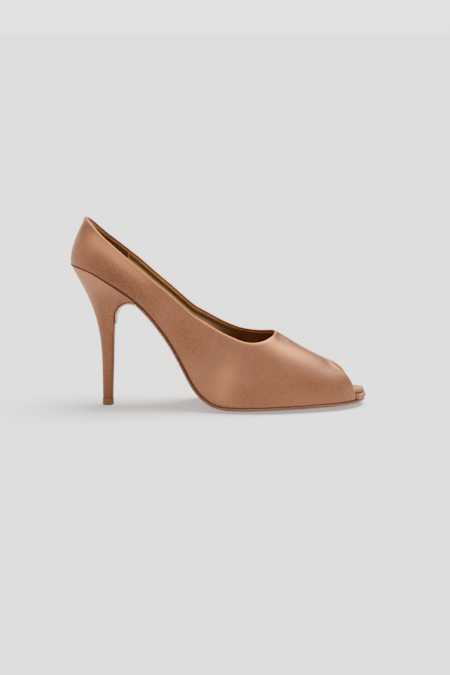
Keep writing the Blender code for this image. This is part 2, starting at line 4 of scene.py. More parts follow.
import bmesh
import bpy
import numpy as np
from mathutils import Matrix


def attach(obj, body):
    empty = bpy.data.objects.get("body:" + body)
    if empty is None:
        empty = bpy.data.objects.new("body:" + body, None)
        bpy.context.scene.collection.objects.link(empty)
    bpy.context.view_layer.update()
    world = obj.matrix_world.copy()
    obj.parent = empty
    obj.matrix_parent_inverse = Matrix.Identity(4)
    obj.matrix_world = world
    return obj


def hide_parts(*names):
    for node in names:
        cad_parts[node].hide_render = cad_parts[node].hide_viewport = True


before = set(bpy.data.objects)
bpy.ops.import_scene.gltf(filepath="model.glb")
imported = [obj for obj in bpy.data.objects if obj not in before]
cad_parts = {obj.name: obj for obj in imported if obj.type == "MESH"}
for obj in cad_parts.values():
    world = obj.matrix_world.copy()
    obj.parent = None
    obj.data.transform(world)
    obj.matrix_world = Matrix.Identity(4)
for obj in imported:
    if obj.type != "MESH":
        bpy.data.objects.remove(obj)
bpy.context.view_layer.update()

# How far the solids are moved so that their box is centred
SHIFT = np.array((-0.0002514, -0.0004822, 0.0))

# Driving sizes of the last, in metres
LENGTH = 0.2090
BALL_WIDTH = 0.0740
HEEL_RISE = 0.0982
INSTEP = 0.0498
TOE_SPRING = 0.0015
SEAT_SHARE = 0.126
SEAT_ROUNDNESS = 2.1
TOE_REACH = 0.0250
TOE_ROUNDNESS = 2.0

# Driving sizes of the pieces, in metres
GAP = 0.0003
SOLE_EDGE = 0.0018
SOLE_MIDDLE = 0.0026
SOLE_MARGIN = 0.0006
FEATHER_LIFT = 0.0020
BOARD_TOE = 0.0033
BOARD_BACK = 0.0022
SOCK_TOE = 0.0030
SOCK_BACK = 0.0020
BOARD_INSET = 0.0027
BOARD_OUTSET = 0.0009
SOCK_INSET = 0.0034
SOCK_TOE_INSET = 0.0042
TOP_PIECE = 0.0050
HEEL_TIP = 0.0076
FLAP = 0.0013
FLAP_TIP = 0.0006
SEAT_CLEARANCE = 0.00015
HEEL_SETBACK = 0.0004
TIP_SETBACK = 0.0002

# Openings of the upper, as shares of the last's length
VAMP_START = 0.535
THROAT_START = 0.570
THROAT = 0.6980
THROAT_ROUNDNESS = 2.25
PEEP_APEX = 0.880
PEEP_OUTER = 0.964
PEEP_INNER = 0.952
PEEP_ROUNDNESS = 2.8
PEEP_EASE_OUTER = 1.50
PEEP_EASE_INNER = 1.95
PEEP_MARGIN = 0.006

# How finely the surfaces are divided
FAN_COLUMNS = 22
SIDE_COLUMNS = 56
VAMP_COLUMNS = 76
PEEP_COLUMNS = 34
UPPER_ROWS = 48
SOLE_STATIONS = 140
FLAP_STATIONS = 40
BOARD_STATIONS = 150
ACROSS = 24
HEEL_SIDES = 96
END_BIAS = 2.5
FINE = 400
SMALL_STEP = 0.0005
SMALL_SHARE = 0.0015

BACK = -LENGTH / 2
PIVOT = BACK + SEAT_SHARE * LENGTH
OUTER, INNER = -1, 1
TIP_END = 0.9985
SEAT_END = 0.004


def named(kind, rows):
    """Rows of plain numbers as rows with named columns."""
    return tuple(kind(*row) for row in rows)


# Bottom line of the last: rise as a share of the heel rise, spring as a share of the toe spring
Bottom = namedtuple("Bottom", "along rise spring")
BOTTOM = named(Bottom, (
    (0.000, 1.000, 0.00),
    (0.060, 0.970, 0.00),
    (0.120, 0.903, 0.00),
    (0.180, 0.818, 0.00),
    (0.240, 0.714, 0.00),
    (0.300, 0.564, 0.00),
    (0.350, 0.405, 0.00),
    (0.390, 0.246, 0.00),
    (0.420, 0.134, 0.00),
    (0.450, 0.065, 0.00),
    (0.485, 0.021, 0.00),
    (0.530, 0.003, 0.02),
    (0.580, 0.000, 0.10),
    (0.700, 0.000, 0.45),
    (0.850, 0.000, 0.85),
    (1.000, 0.000, 1.00),
))

# Feather line: half-widths from the centre line and the centre line's shift to the inner side,
# as shares of the ball width
Feather = namedtuple("Feather", "along outer inner centre")
FEATHER = named(Feather, (
    (0.126, 0.342, 0.342, 0.000),
    (0.180, 0.332, 0.327, 0.000),
    (0.240, 0.306, 0.290, 0.000),
    (0.300, 0.288, 0.256, 0.000),
    (0.360, 0.303, 0.258, 0.000),
    (0.420, 0.357, 0.308, 0.000),
    (0.480, 0.424, 0.384, 0.000),
    (0.540, 0.471, 0.452, 0.000),
    (0.600, 0.491, 0.493, 0.000),
    (0.660, 0.488, 0.504, 0.001),
    (0.720, 0.472, 0.490, 0.004),
    (0.800, 0.431, 0.443, 0.013),
    (0.880, 0.370, 0.376, 0.024),
    (0.940, 0.325, 0.327, 0.032),
    (1.000, 0.285, 0.285, 0.040),
))

# Sections of the last: ridge height over the feather line as a share of the instep, bulges of
# the two sides, lean of the walls and hollow of the bottom as shares of the ball width
Section = namedtuple("Section", "along ridge outer_bulge inner_bulge lean fullness crown")
SECTIONS = named(Section, (
    (0.000, 1.205, 0.019, 0.019, 0.335, 2.40, 0.000),
    (0.063, 1.190, 0.014, 0.014, 0.275, 2.40, 0.000),
    (0.126, 1.159, 0.010, 0.011, 0.165, 2.40, 0.000),
    (0.180, 1.120, 0.020, 0.024, 0.060, 2.40, 0.000),
    (0.240, 1.115, 0.043, 0.056, 0.010, 2.40, 0.001),
    (0.300, 1.195, 0.058, 0.080, 0.000, 2.40, 0.006),
    (0.360, 1.390, 0.053, 0.083, 0.000, 2.40, 0.011),
    (0.420, 1.590, 0.026, 0.056, 0.000, 2.40, 0.018),
    (0.480, 1.600, 0.000, 0.021, 0.000, 2.40, 0.022),
    (0.540, 1.458, -0.013, 0.001, 0.000, 2.35, 0.024),
    (0.600, 1.277, -0.016, -0.008, 0.000, 2.30, 0.024),
    (0.660, 1.088, -0.014, -0.011, 0.000, 2.22, 0.024),
    (0.720, 0.922, -0.011, -0.011, 0.000, 2.16, 0.023),
    (0.800, 0.713, -0.008, -0.010, 0.000, 2.15, 0.020),
    (0.880, 0.540, -0.004, -0.006, 0.000, 2.28, 0.014),
    (0.920, 0.474, -0.001, -0.002, 0.000, 2.40, 0.012),
    (0.960, 0.375, 0.000, 0.000, 0.000, 2.50, 0.006),
    (1.000, 0.100, 0.000, 0.000, 0.000, 2.50, 0.000),
))
BULGE_SHARE = 0.30
LEAN_POWER = 1.5

# Collar: its height as a share of the section's ridge height, at each side
Collar = namedtuple("Collar", "along outer inner")
COLLAR = named(Collar, (
    (0.000, 0.548, 0.545),
    (0.032, 0.550, 0.543),
    (0.063, 0.541, 0.528),
    (0.095, 0.512, 0.500),
    (0.126, 0.502, 0.494),
    (0.180, 0.485, 0.487),
    (0.240, 0.478, 0.490),
    (0.300, 0.507, 0.523),
    (0.360, 0.561, 0.573),
    (0.420, 0.640, 0.653),
    (0.480, 0.675, 0.691),
    (0.530, 0.681, 0.696),
    (0.570, 0.690, 0.710),
))

# Heel stem and cup: height as a share of the seat's height, back line as a share of the way
# from the tip's back to the seat's back, half-width as a share of the seat's half-width, and
# how square the front is. Front is the share of the way up the stem's front, and past 1 the
# share of the way along the breast
Heel = namedtuple("Heel", "up back front half square")
HEEL = named(Heel, (
    (0.054, 0.000, 0.00, 0.158, 2.3),
    (0.180, 0.002, 0.22, 0.168, 2.3),
    (0.300, 0.010, 0.45, 0.186, 2.3),
    (0.400, 0.033, 0.64, 0.212, 2.4),
    (0.480, 0.069, 0.79, 0.244, 2.5),
    (0.560, 0.133, 0.92, 0.292, 2.7),
    (0.640, 0.217, 1.05, 0.360, 3.0),
    (0.715, 0.335, 1.18, 0.446, 3.4),
    (0.785, 0.476, 1.33, 0.548, 4.0),
    (0.850, 0.638, 1.49, 0.660, 5.0),
    (0.905, 0.790, 1.64, 0.775, 6.0),
    (0.950, 0.905, 1.78, 0.885, 7.0),
))
STEM_LEAN = 0.0020
HEEL_AXIS_SHARE = 0.1210
HEEL_AXIS = BACK + HEEL_AXIS_SHARE * LENGTH

# Breast flap of the sole, and the straight lip of the heel's rim behind it
FLAP_END_RISE = 0.585
FLAP_END_HALF = 0.2336
FLAP_NARROWING = 1.15
FLAP_EASE = 2.5
BREAST_OUT = 0.0092
BREAST_DOWN = 0.0150
BREAST_BELLY = 0.0030
JOIN_SHARE = 0.2400
LIP_SHARE = 0.2260
LIP_SQUARE = 9.0
RIM_SPREAD = 1.02

# Where the board and the sock grow thicker, and where the sock's tip narrows and widens again:
# the station where it starts and the run over which it grows
SWELL = (0.62, 0.30)
SOCK_TOE_RISE = (0.93, 0.05)
SOCK_TIP_RISE = (0.975, 0.024)


def spline(knots, values):
    """Return a cubic through the knots with steady curvature and straight ends."""
    count = len(knots)
    knots = np.array(knots, dtype=float)
    values = np.array(values, dtype=float)
    step = np.diff(knots)
    chord = np.diff(values) / step
    matrix = np.zeros((count, count))
    right = np.zeros(count)
    matrix[0, :2] = (2, 1)
    right[0] = 3 * chord[0]
    matrix[-1, -2:] = (1, 2)
    right[-1] = 3 * chord[-1]
    for i in range(1, count - 1):
        matrix[i, i - 1:i + 2] = (step[i], 2 * (step[i - 1] + step[i]), step[i - 1])
        right[i] = 3 * (step[i] * chord[i - 1] + step[i - 1] * chord[i])
    slopes = np.linalg.solve(matrix, right)

    def value(x):
        x = min(max(x, knots[0]), knots[-1])
        i = min(int(np.searchsorted(knots, x, side="right")) - 1, count - 2)
        s = (x - knots[i]) / step[i]
        rise = values[i + 1] - values[i]
        bend = s * (1 - s) * step[i]
        ease = s * s * (3 - 2 * s)
        return values[i] + rise * ease + bend * ((1 - s) * slopes[i] - s * slopes[i + 1])

    return value


def columns(table):
    """Return a spline for each named column of a table, over its first column."""
    names = table[0]._fields
    knots = [row[0] for row in table]
    return {name: spline(knots, [getattr(row, name) for row in table]) for name in names[1:]}


bottom = columns(BOTTOM)
feather = columns(FEATHER)
sections = columns(SECTIONS)
collar = columns(COLLAR)
SIDE_NAME = {OUTER: "outer", INNER: "inner"}


def ramp(at, start, run):
    """Rise from 0 at the start to 1 after the run, or a fall to the start if the run is negative."""
    return np.clip((at - start) / run, 0, 1)


def summed(steps):
    """Running sum of steps, from 0."""
    return np.concatenate(((0.0,), np.cumsum(steps)))


def lengths(line):
    """How far along a polyline each of its points lies."""
    return summed(np.linalg.norm(np.diff(line, axis=0), axis=1))


def station_x(along):
    return BACK + along * LENGTH


def share_of(x):
    return (x - BACK) / LENGTH


def feather_height(x):
    """Height of the feather line over the floor."""
    along = share_of(x)
    base = SOLE_EDGE + FEATHER_LIFT
    return base + HEEL_RISE * bottom["rise"](along) + TOE_SPRING * bottom["spring"](along)


def toe_round(along):
    """Narrowing of the feather line over the last stretch before the tip."""
    left = min(max((1 - along) * LENGTH / TOE_REACH, 0.0), 1.0)
    return (1 - (1 - left) ** TOE_ROUNDNESS) ** (1 / TOE_ROUNDNESS)


def centre(along):
    return BALL_WIDTH * feather["centre"](max(along, SEAT_SHARE))


def half_width(along, side):
    """Half-width of the feather line from the centre line."""
    width = BALL_WIDTH * feather[SIDE_NAME[side]](max(along, SEAT_SHARE))
    if along < SEAT_SHARE:
        left = 1 - max(along, 0.0) / SEAT_SHARE
        return width * max(1 - left ** SEAT_ROUNDNESS, 0.0) ** (1 / SEAT_ROUNDNESS)
    return width * toe_round(along)


def spoke(along, side):
    """Axis point, outward direction in plan and reach of the feather line at a station.

    Stations behind the pivot turn around it, so that they meet the round seat squarely.
    """
    if along >= SEAT_SHARE:
        axis = (station_x(along), centre(along))
        return axis, (0.0, float(side)), half_width(along, side)
    turn = (1 - along / SEAT_SHARE) * math.pi / 2
    back, across = math.sin(turn), math.cos(turn)
    wide = half_width(SEAT_SHARE, side)
    deep = SEAT_SHARE * LENGTH
    power = SEAT_ROUNDNESS
    reach = ((back / deep) ** power + (across / wide) ** power) ** (-1 / power)
    return (PIVOT, 0.0), (-back, side * across), reach


def seat_point(along, side):
    """Feather point in plan."""
    axis, out, reach = spoke(along, side)
    return axis[0] + out[0] * reach, axis[1] + out[1] * reach


def last_point(along, side, turn):
    """Point of the last's skin: turn 0 is the feather line and turn 1 the ridge."""
    axis, out, reach = spoke(along, side)
    power = 2 / sections["fullness"](along)
    up = math.sin(turn * math.pi / 2) ** power
    shrink = max(math.cos(turn * math.pi / 2), 0.0) ** power
    swell = 1 - (1 - min(up / BULGE_SHARE, 1)) ** 2
    bulge = BALL_WIDTH * sections[SIDE_NAME[side] + "_bulge"](along) * swell
    lean = BALL_WIDTH * sections["lean"](along) * up ** LEAN_POWER
    out_reach = (reach + bulge - lean) * shrink
    base = feather_height(axis[0] + out[0] * reach)
    height = base + INSTEP * sections["ridge"](along) * up
    return np.array((axis[0] + out[0] * out_reach, axis[1] + out[1] * out_reach, height))


def last_bottom(x, y):
    """Height of the last's underside, a little lower in the middle than at the feather line."""
    along = share_of(x)
    offset = y - centre(along)
    width = max(half_width(along, INNER if offset > 0 else OUTER), 0.001)
    dip = BALL_WIDTH * sections["crown"](along)
    return feather_height(x) - dip * max(1 - (offset / width) ** 2, 0.0)


def bottom_normal(x):
    """Upward direction square to the bottom line, seen from the side."""
    rise = feather_height(x + SMALL_STEP) - feather_height(x - SMALL_STEP)
    slope = rise / (2 * SMALL_STEP)
    length = math.hypot(slope, 1)
    return -slope / length, 1 / length


def edge_point(along, side, offset):
    """Feather point in plan, moved out by an offset square to the feather line."""
    before = np.array(seat_point(max(along - SMALL_SHARE, 0.0), side))
    after = np.array(seat_point(min(along + SMALL_SHARE, 1.0), side))
    run = after - before
    run /= np.linalg.norm(run)
    out = np.array((-run[1], run[0])) * side
    return np.array(seat_point(along, side)) + out * offset


def collar_turn(along, side):
    """Turn of the collar on the walls beside and behind the foot."""
    up = collar[SIDE_NAME[side]](along)
    return math.asin(up ** (sections["fullness"](along) / 2)) * 2 / math.pi


def throat_param(angle, side):
    """Station and turn of the collar around the throat, from an angle of its round plan."""
    power = 2 / THROAT_ROUNDNESS
    wide = abs(last_point(THROAT_START, side, collar_turn(THROAT_START, side))[1])
    along = THROAT_START + (THROAT - THROAT_START) * math.sin(angle) ** power
    y = wide * max(math.cos(angle), 0.0) ** power
    bulge = BALL_WIDTH * sections[SIDE_NAME[side] + "_bulge"](along)
    body = half_width(along, side) + bulge + side * centre(along)
    share = min(y / body, 1.0) ** (sections["fullness"](along) / 2)
    return along, math.acos(share) * 2 / math.pi


def peep_param(left, side):
    """Station and turn of the peep edge: left is 0 at its apex and 1 at the feather line."""
    corner, ease = (PEEP_OUTER, PEEP_EASE_OUTER) if side == OUTER else (PEEP_INNER, PEEP_EASE_INNER)
    share = (1 - (1 - left) ** PEEP_ROUNDNESS) ** ease
    return PEEP_APEX + (corner - PEEP_APEX) * share, 1 - left


def spaced(params, side, count):
    """Pick evenly spaced points from a fine list of stations and turns."""
    points = np.array([last_point(a, side, t) for a, t in params])
    run = lengths(points)
    places = np.linspace(0, run[-1], count + 1)
    along = np.interp(places, run, [a for a, t in params])
    turn = np.interp(places, run, [t for a, t in params])
    return list(zip(along, turn))


def column_params(side):
    """Station and turn at the lower edge and at the collar, for each column of one side."""
    fan = [SEAT_SHARE * i / FAN_COLUMNS for i in range(FAN_COLUMNS)]
    steps = np.linspace(SEAT_SHARE, VAMP_START, FINE)
    sides = [a for a, t in spaced([(a, 0.0) for a in steps], side, SIDE_COLUMNS)][:-1]
    rows = [((a, 0.0), (a, collar_turn(a, side))) for a in fan + sides]
    corner = peep_param(1.0, side)[0]
    lower = spaced([(a, 0.0) for a in np.linspace(VAMP_START, corner, FINE)], side, VAMP_COLUMNS)
    peep = [peep_param(1 - k, side) for k in np.linspace(0, 1, FINE)]
    lower = lower[:-1] + spaced(peep, side, PEEP_COLUMNS)
    rim = [(a, collar_turn(a, side)) for a in np.linspace(VAMP_START, THROAT_START, FINE)][:-1]
    rim += [throat_param(k, side) for k in np.linspace(0, math.pi / 2, FINE)]
    upper = spaced(rim, side, VAMP_COLUMNS + PEEP_COLUMNS)
    return rows + list(zip(lower, upper))


def stations(start, end, count):
    """Stations spaced evenly along the bottom line, closer towards round ends."""
    fine = np.linspace(start, end, FINE)
    line = np.array([(station_x(a), feather_height(station_x(a))) for a in fine])
    width = np.array([half_width(a, OUTER) for a in fine])
    steps = np.linalg.norm(np.diff(line, axis=0), axis=1)
    run = summed(steps + END_BIAS * np.abs(np.diff(width)))
    return np.interp(np.linspace(0, run[-1], count), run, fine)


def across_line(along, offset):
    """Plan points across the last at one station, from its outer to its inner edge."""
    outer = edge_point(along, OUTER, offset)
    inner = edge_point(along, INNER, offset)
    shares = (1 - np.cos(np.linspace(0, math.pi, ACROSS + 1))) / 2
    return [outer + (inner - outer) * share for share in shares]


def flap_point(share):
    """Side view of the breast flap's back face: 0 where it leaves the last, 1 at its lower end."""
    join = station_x(JOIN_SHARE)
    normal = bottom_normal(join)
    start = np.array((join, last_bottom(join, 0.0)))
    seat = feather_height(BACK)
    end = np.array((stem_front(FLAP_END_RISE) + 2 * GAP, seat * FLAP_END_RISE))
    lead = start + np.array((-normal[1], normal[0])) * BREAST_OUT
    drop = end + np.array((-BREAST_BELLY, BREAST_DOWN))
    weights = ((1 - share) ** 3, 3 * share * (1 - share) ** 2, 3 * share ** 2 * (1 - share), share ** 3)
    point = sum(w * p for w, p in zip(weights, (start, lead, drop, end)))
    pull = ((lead - start) * (1 - share) ** 2 + (drop - lead) * 2 * share * (1 - share)
            + (end - drop) * share ** 2)
    pull /= np.linalg.norm(pull)
    return point, pull


def stem_front(up):
    """Front of the stem at a share of the seat's height."""
    return HEEL_AXIS + HEEL_TIP / 2 + STEM_LEAN * up / FLAP_END_RISE


def flap_half(share):
    """Half-width of the breast flap, a little narrower than the heel that it covers."""
    wide = half_width(JOIN_SHARE, OUTER)
    narrow = half_width(SEAT_SHARE, OUTER) * FLAP_END_HALF
    return wide + (narrow - wide) * share ** FLAP_NARROWING


def taper(back, toe):
    """Thickness that grows from the ball to the toe."""
    def value(along):
        share = ramp(along, *SWELL)
        return back + (toe - back) * share * share * (3 - 2 * share)
    return value


def board_inset(along):
    """The board lies inside the upper, and comes out to the feather line past the peep."""
    share = ramp(along, PEEP_OUTER + PEEP_MARGIN, PEEP_MARGIN)
    return BOARD_INSET - (BOARD_INSET + BOARD_OUTSET) * share


def sock_inset(along):
    """The sock lies inside the board, and its blunt tip ends just short of the board's."""
    inset = SOCK_INSET + (SOCK_TOE_INSET - SOCK_INSET) * ramp(along, *SOCK_TOE_RISE)
    return inset + (TIP_SETBACK - inset) * ramp(along, *SOCK_TIP_RISE) ** 2


def superellipse(angle, square_front, square_back):
    """Unit outline: angle 0 at the back, pi at the front."""
    power = 2 / (square_front if math.cos(angle) < 0 else square_back)
    deep = abs(math.cos(angle)) ** power
    wide = abs(math.sin(angle)) ** power
    return (0.5 - math.copysign(deep, math.cos(angle)) / 2, math.copysign(wide, math.sin(angle)))


def heel_front(share):
    """Front of the heel in side view: up the stem to share 1, then along the breast."""
    seat = feather_height(BACK)
    low = TOP_PIECE + GAP
    if share <= 1:
        up = low + (seat * FLAP_END_RISE - low) * share
        return np.array((stem_front(up / seat), up))
    point, pull = flap_point(min(2 - share, 1.0))
    return point + np.array((pull[1], -pull[0])) * GAP


def heel_ring(row):
    """One ring of the heel block."""
    seat = feather_height(BACK)
    tip_back = HEEL_AXIS - HEEL_TIP / 2
    back = np.array((tip_back + (BACK + HEEL_SETBACK - tip_back) * row.back, seat * row.up))
    front = heel_front(row.front)
    half = half_width(SEAT_SHARE, OUTER) * row.half
    if row is HEEL[0]:
        back[1] = front[1]
    ring = []
    for k in range(HEEL_SIDES):
        deep, wide = superellipse(2 * math.pi * k / HEEL_SIDES, row.square, SEAT_ROUNDNESS)
        place = back + (front - back) * deep
        ring.append(np.array((place[0], half * wide, place[1])))
    return ring


def heel_seat_ring():
    """The heel's upper rim, under the feather line, closed by the straight lip of its breast."""
    ring = []
    lip = station_x(LIP_SHARE)
    for k in range(HEEL_SIDES):
        deep, wide = superellipse(2 * math.pi * k / HEEL_SIDES, LIP_SQUARE, SEAT_ROUNDNESS)
        x = BACK + (lip - BACK) * deep
        side = INNER if wide > 0 else OUTER
        limit = half_width(share_of(x), side)
        y = side * min(limit, abs(wide) * half_width(SEAT_SHARE, side) * RIM_SPREAD)
        ring.append(np.array((x, y, last_bottom(x, y) - SEAT_CLEARANCE)))
    return ring


# Sizes of what the scene adds, in metres
SATIN = 0.0011
LINING_OUT = 0.00125
LINING_IN = 0.00165
LINING_START = 0.0004
LINING_PEEP_START = 0.0060
LINING_DROP = 0.0017
LINING_EDGE = 0.00028
POCKET_START = 0.0005
POCKET_DROP = 0.0008
POCKET_BACK = 0.00008
POCKET_FACE = 0.00042
POCKET_EDGE = 0.00030
TUCK_HEIGHT = 0.0013
TUCK = 0.00045
PEEP_FOLD = 0.0010
PEEP_FOLD_REACH = 0.0060
PEEP_FOLD_POWER = 0.7
BACK_PAD = 0.0007
PAD_REACH = 0.0022
JOINT = 0.00036
JOINT_INSET = 0.00005
RAND_FOLD = 0.00045
RAND_INSET = 0.0002
BREAST_JOINT = 0.00042
BREAST_JOINT_INSET = 0.0002
FLAP_BELLY = 0.0014
STITCH = 0.00017
STITCH_PITCH = 0.0019

# Stitches as shares: thickness along one, the space before it and its length in the pitch, the
# turn of the peep edge up to which they run, and their depth in the satin
STITCH_SHAPE = (0.4, 0.9, 1.0, 0.9, 0.4)
STITCH_SPACE = 0.2
STITCH_LENGTH = 0.62
STITCH_TURN = 0.62
STITCH_DEPTH = 0.1

# How finely these are divided
ROLL_STEPS = 6
LINING_ROWS = 60
POCKET_ROWS = 24
JOINT_STEPS = 260
RAND_STEPS = 40
BREAST_STEPS = 60
TUBE_SIDES = 8
STITCH_SIDES = 6
EDGE_STEPS = 5
END_TURNS = (80, 55, 28)
HEEL_STEPS = 4
HEEL_RINGS = 110
UPPER_SHARES = np.linspace(0, 1, UPPER_ROWS + 1)

# Stations: where a form starts and the run over which it grows, or fades if the run is negative
PAD_FADE = (0.16, -0.12)
RIM_RISE = (0.16, 0.12)
BULGE_RISE = (0.17, 0.06)
BULGE_FADE = (0.60, -0.14)
# Where the lining's painted light and shade start, and where its band of painted light ends
SHADE_RISE = (0.10, 0.08)
LIT_BAND_FADE = (0.52, -0.12)
POCKET_END = 0.196
RAND_START = PEEP_OUTER + 2.2 * PEEP_MARGIN

# Ends of the joint beside the breast flap, and how much of the gap the sole's joint is lifted
BREAST_ENDS = (0.02, 0.97)
JOINT_LIFT = 0.3

# Where the sole's joint is wider: how much, at which station, and half the stretch
JOINT_WIDER = ((0.00030, 0.17, 0.05), (0.00030, 0.34, 0.07))

# Lining at a drop below the collar. Hills have a height, a place and a half-width, ramps a start
# and a run. The last three are its painted shade and painted light, the others how far it stands in
LINING_ROLL = (0.0007, 0.0026, 0.0011)
LINING_GROOVE = (-0.0002, 0.0047, 0.0008)
LINING_SWELL = 0.0030
SWELL_RISE = (0.0049, 0.0036)
SWELL_POWER = 0.75
SWELL_FULL = 0.010
SWELL_FADE = 0.009
LINING_SHADE_BAND, SHADE_BAND_RISE, SHADE_BAND_FADE = -0.30, (0.0014, 0.0026), (0.0056, -0.0010)
LINING_CREASE_SHADE = (-0.42, 0.0044, 0.0010)
LINING_LIT_BAND, LIT_BAND_RISE = 0.72, (0.0050, 0.0030)

# Painted highlight and painted shade on the satin at its edges: along the collar's rim, and painted light
# on the satin turned in at the peep
RIM_OUTER_HIGHLIGHT = 0.75
RIM_BACK_SHADE = -0.35
RIM_FRONT_HIGHLIGHT = 1.0
RIM_SOFTENING = 3
PEEP_PAINTED_LIGHT = 0.95
PEEP_PAINTED_LIGHT_SHARE = 0.22

# Heel: how much squarer its breast is, where the rings are smoothed, and the painted light on its satin:
# lighter at the top, painted shade down the stem
BREAST_SQUARER = 1.8
BREAST_SQUARE_RISE = (0.85, 0.15)
SMOOTH_TURNS = 120
SMOOTH_RINGS = (50, 20)
SMOOTH_BACK = (-0.30, 0.6)
HEEL_PAINTED_LIGHT = 0.12
STEM_PAINTED_SHADE = 0.62
STEM_SHADE_FADE = (0.86, -0.26)

# Top piece: share of its height and size of each ring
TOP_PIECE_RINGS = ((0.0, 0.97), (0.03, 1.02), (0.08, 1.05), (0.2, 1.06), (0.60, 1.04), (0.9, 1.02),
                   (0.985, 1.01), (1.0, 0.98))

# Soft folds of the upper: ends as station and turn, side, half-width and depth in metres. A
# negative depth is a ridge
Fold = namedtuple("Fold", "along turn end_along end_turn side width depth")
WRINKLES = named(Fold, (
    (0.705, 0.990, 0.738, 0.958, OUTER, 0.0008, 0.00070),
    (0.704, 0.962, 0.748, 0.893, OUTER, 0.0007, 0.00100),
    (0.702, 0.937, 0.733, 0.872, OUTER, 0.0007, 0.00115),
    (0.700, 0.903, 0.743, 0.806, OUTER, 0.0007, 0.00120),
    (0.698, 0.881, 0.725, 0.806, OUTER, 0.0007, 0.00110),
    (0.695, 0.845, 0.727, 0.742, OUTER, 0.0009, 0.00080),
    (0.690, 0.812, 0.706, 0.738, OUTER, 0.0009, 0.00060),
    (0.703, 0.958, 0.740, 0.905, INNER, 0.0008, 0.00080),
    (0.700, 0.912, 0.738, 0.820, INNER, 0.0008, 0.00090),
    (0.694, 0.862, 0.714, 0.765, INNER, 0.0009, 0.00060),
))
FOLDS = WRINKLES + named(Fold, (
    (0.080, 0.200, 0.270, 0.190, OUTER, 0.0060, -0.00080),
    (0.100, 0.070, 0.320, 0.080, OUTER, 0.0060, 0.00070),
    (0.440, 0.300, 0.470, 0.100, OUTER, 0.0080, 0.00060),
    (0.512, 0.050, 0.540, 0.260, OUTER, 0.0060, -0.00080),
    (0.570, 0.100, 0.590, 0.420, OUTER, 0.0070, 0.00060),
    (0.080, 0.200, 0.270, 0.190, INNER, 0.0060, -0.00070),
    (0.100, 0.070, 0.320, 0.080, INNER, 0.0060, 0.00060),
    (0.440, 0.300, 0.470, 0.100, INNER, 0.0080, 0.00060),
    (0.530, 0.050, 0.560, 0.260, INNER, 0.0060, -0.00070),
))
FOLD_STEPS = 40
FOLD_FADE = (0.15, 0.80)
FOLD_POWER = 0.7
# Painted shade along each wrinkle of the throat, and the half-width of that painted shade
WRINKLE_PAINTED_SHADE = -1.75
WRINKLE_SHADE_WIDTH = 0.0007

# Painted highlight (above 0) and painted shade (below 0) on the satin: the same ends, a half-width and a
# strength
PAINTED_SHADING_BANDS = named(Fold, (
    (0.095, 0.215, 0.270, 0.200, OUTER, 0.0060, 0.62),
    (0.110, 0.070, 0.300, 0.060, OUTER, 0.0075, -0.95),
    (0.000, 0.200, 0.040, 0.120, OUTER, 0.0075, 0.22),
    (0.360, 0.200, 0.470, 0.250, OUTER, 0.0100, -0.35),
    (0.512, 0.050, 0.540, 0.260, OUTER, 0.0070, 0.26),
    (0.680, 0.640, 0.840, 0.760, OUTER, 0.0065, 0.95),
    (0.862, 0.930, 0.868, 0.760, OUTER, 0.0026, -0.45),
    (0.884, 0.940, 0.915, 0.720, OUTER, 0.0048, 1.00),
    (0.880, 0.600, 0.900, 0.450, OUTER, 0.0080, -0.30),
    (0.070, 0.215, 0.270, 0.200, INNER, 0.0065, 0.60),
    (0.110, 0.070, 0.300, 0.060, INNER, 0.0075, -0.60),
    (0.680, 0.640, 0.840, 0.760, INNER, 0.0065, 0.80),
    (0.887, 0.970, 0.918, 0.800, INNER, 0.0040, 0.70),
)) + tuple(fold._replace(width=WRINKLE_SHADE_WIDTH, depth=WRINKLE_PAINTED_SHADE) for fold in WRINKLES)

# One column of the upper's skin: its side, and station and turn of its lower and upper end
Column = namedtuple("Column", "side low high")


def unit(vectors):
    return vectors / np.maximum(np.linalg.norm(vectors, axis=-1, keepdims=True), 1e-12)


def hump(at, height, place, width):
    """Soft hill around a place."""
    return height * np.exp(-((at - place) / width) ** 2)


def resampled(run, values, places):
    """Points or directions given along a run, at other places of it."""
    return np.stack([np.interp(places, run, column) for column in values.T], axis=-1)


def grid_normals(grid):
    """Outward normals of a grid of points that closes around its first direction."""
    around = np.roll(grid, -1, axis=0) - np.roll(grid, 1, axis=0)
    upward = np.gradient(grid, axis=1)
    normals = unit(np.cross(around, upward))
    middle = grid.mean(axis=(0, 1))
    outward = np.sum(normals[0, 1:4] * (grid[0, 1:4] - middle)) > 0
    return normals if outward else -normals


def skin_line(side, start, end, shares):
    """Points of the last's skin between two pairs of station and turn."""
    return [last_point(start[0] + (end[0] - start[0]) * s, side, start[1] + (end[1] - start[1]) * s)
            for s in shares]


def fold_depth(points, folds):
    """Sum of the soft lines at each point of the skin: how far it is pressed in, or, for the painted
    bands, its painted highlight and painted shade.
    """
    depth = np.zeros(points.shape[:-1])
    shares = np.linspace(0, 1, FOLD_STEPS)
    strength = np.sin(math.pi * (FOLD_FADE[0] + FOLD_FADE[1] * shares)) ** FOLD_POWER
    for fold in folds:
        line = np.array(skin_line(fold.side, fold[0:2], fold[2:4], shares))
        apart = np.linalg.norm(points[..., None, :] - line, axis=-1)
        near = np.argmin(apart, axis=-1)
        least = np.take_along_axis(apart, near[..., None], axis=-1)[..., 0]
        depth += hump(least, fold.depth * strength[near], 0.0, fold.width)
    return depth


def skin_columns():
    """The outer skin of the upper as a fine grid, and its columns all the way round."""
    sides = [Column(OUTER, *ends) for ends in column_params(OUTER)]
    sides += [Column(INNER, *ends) for ends in column_params(INNER)[-2:0:-1]]
    return np.array([skin_line(*column, UPPER_SHARES) for column in sides]), sides


def at_peep(column):
    return column.low[1] > 0


def add_object(name, data):
    thing = bpy.data.objects.new(name, data)
    bpy.context.collection.objects.link(thing)
    return thing


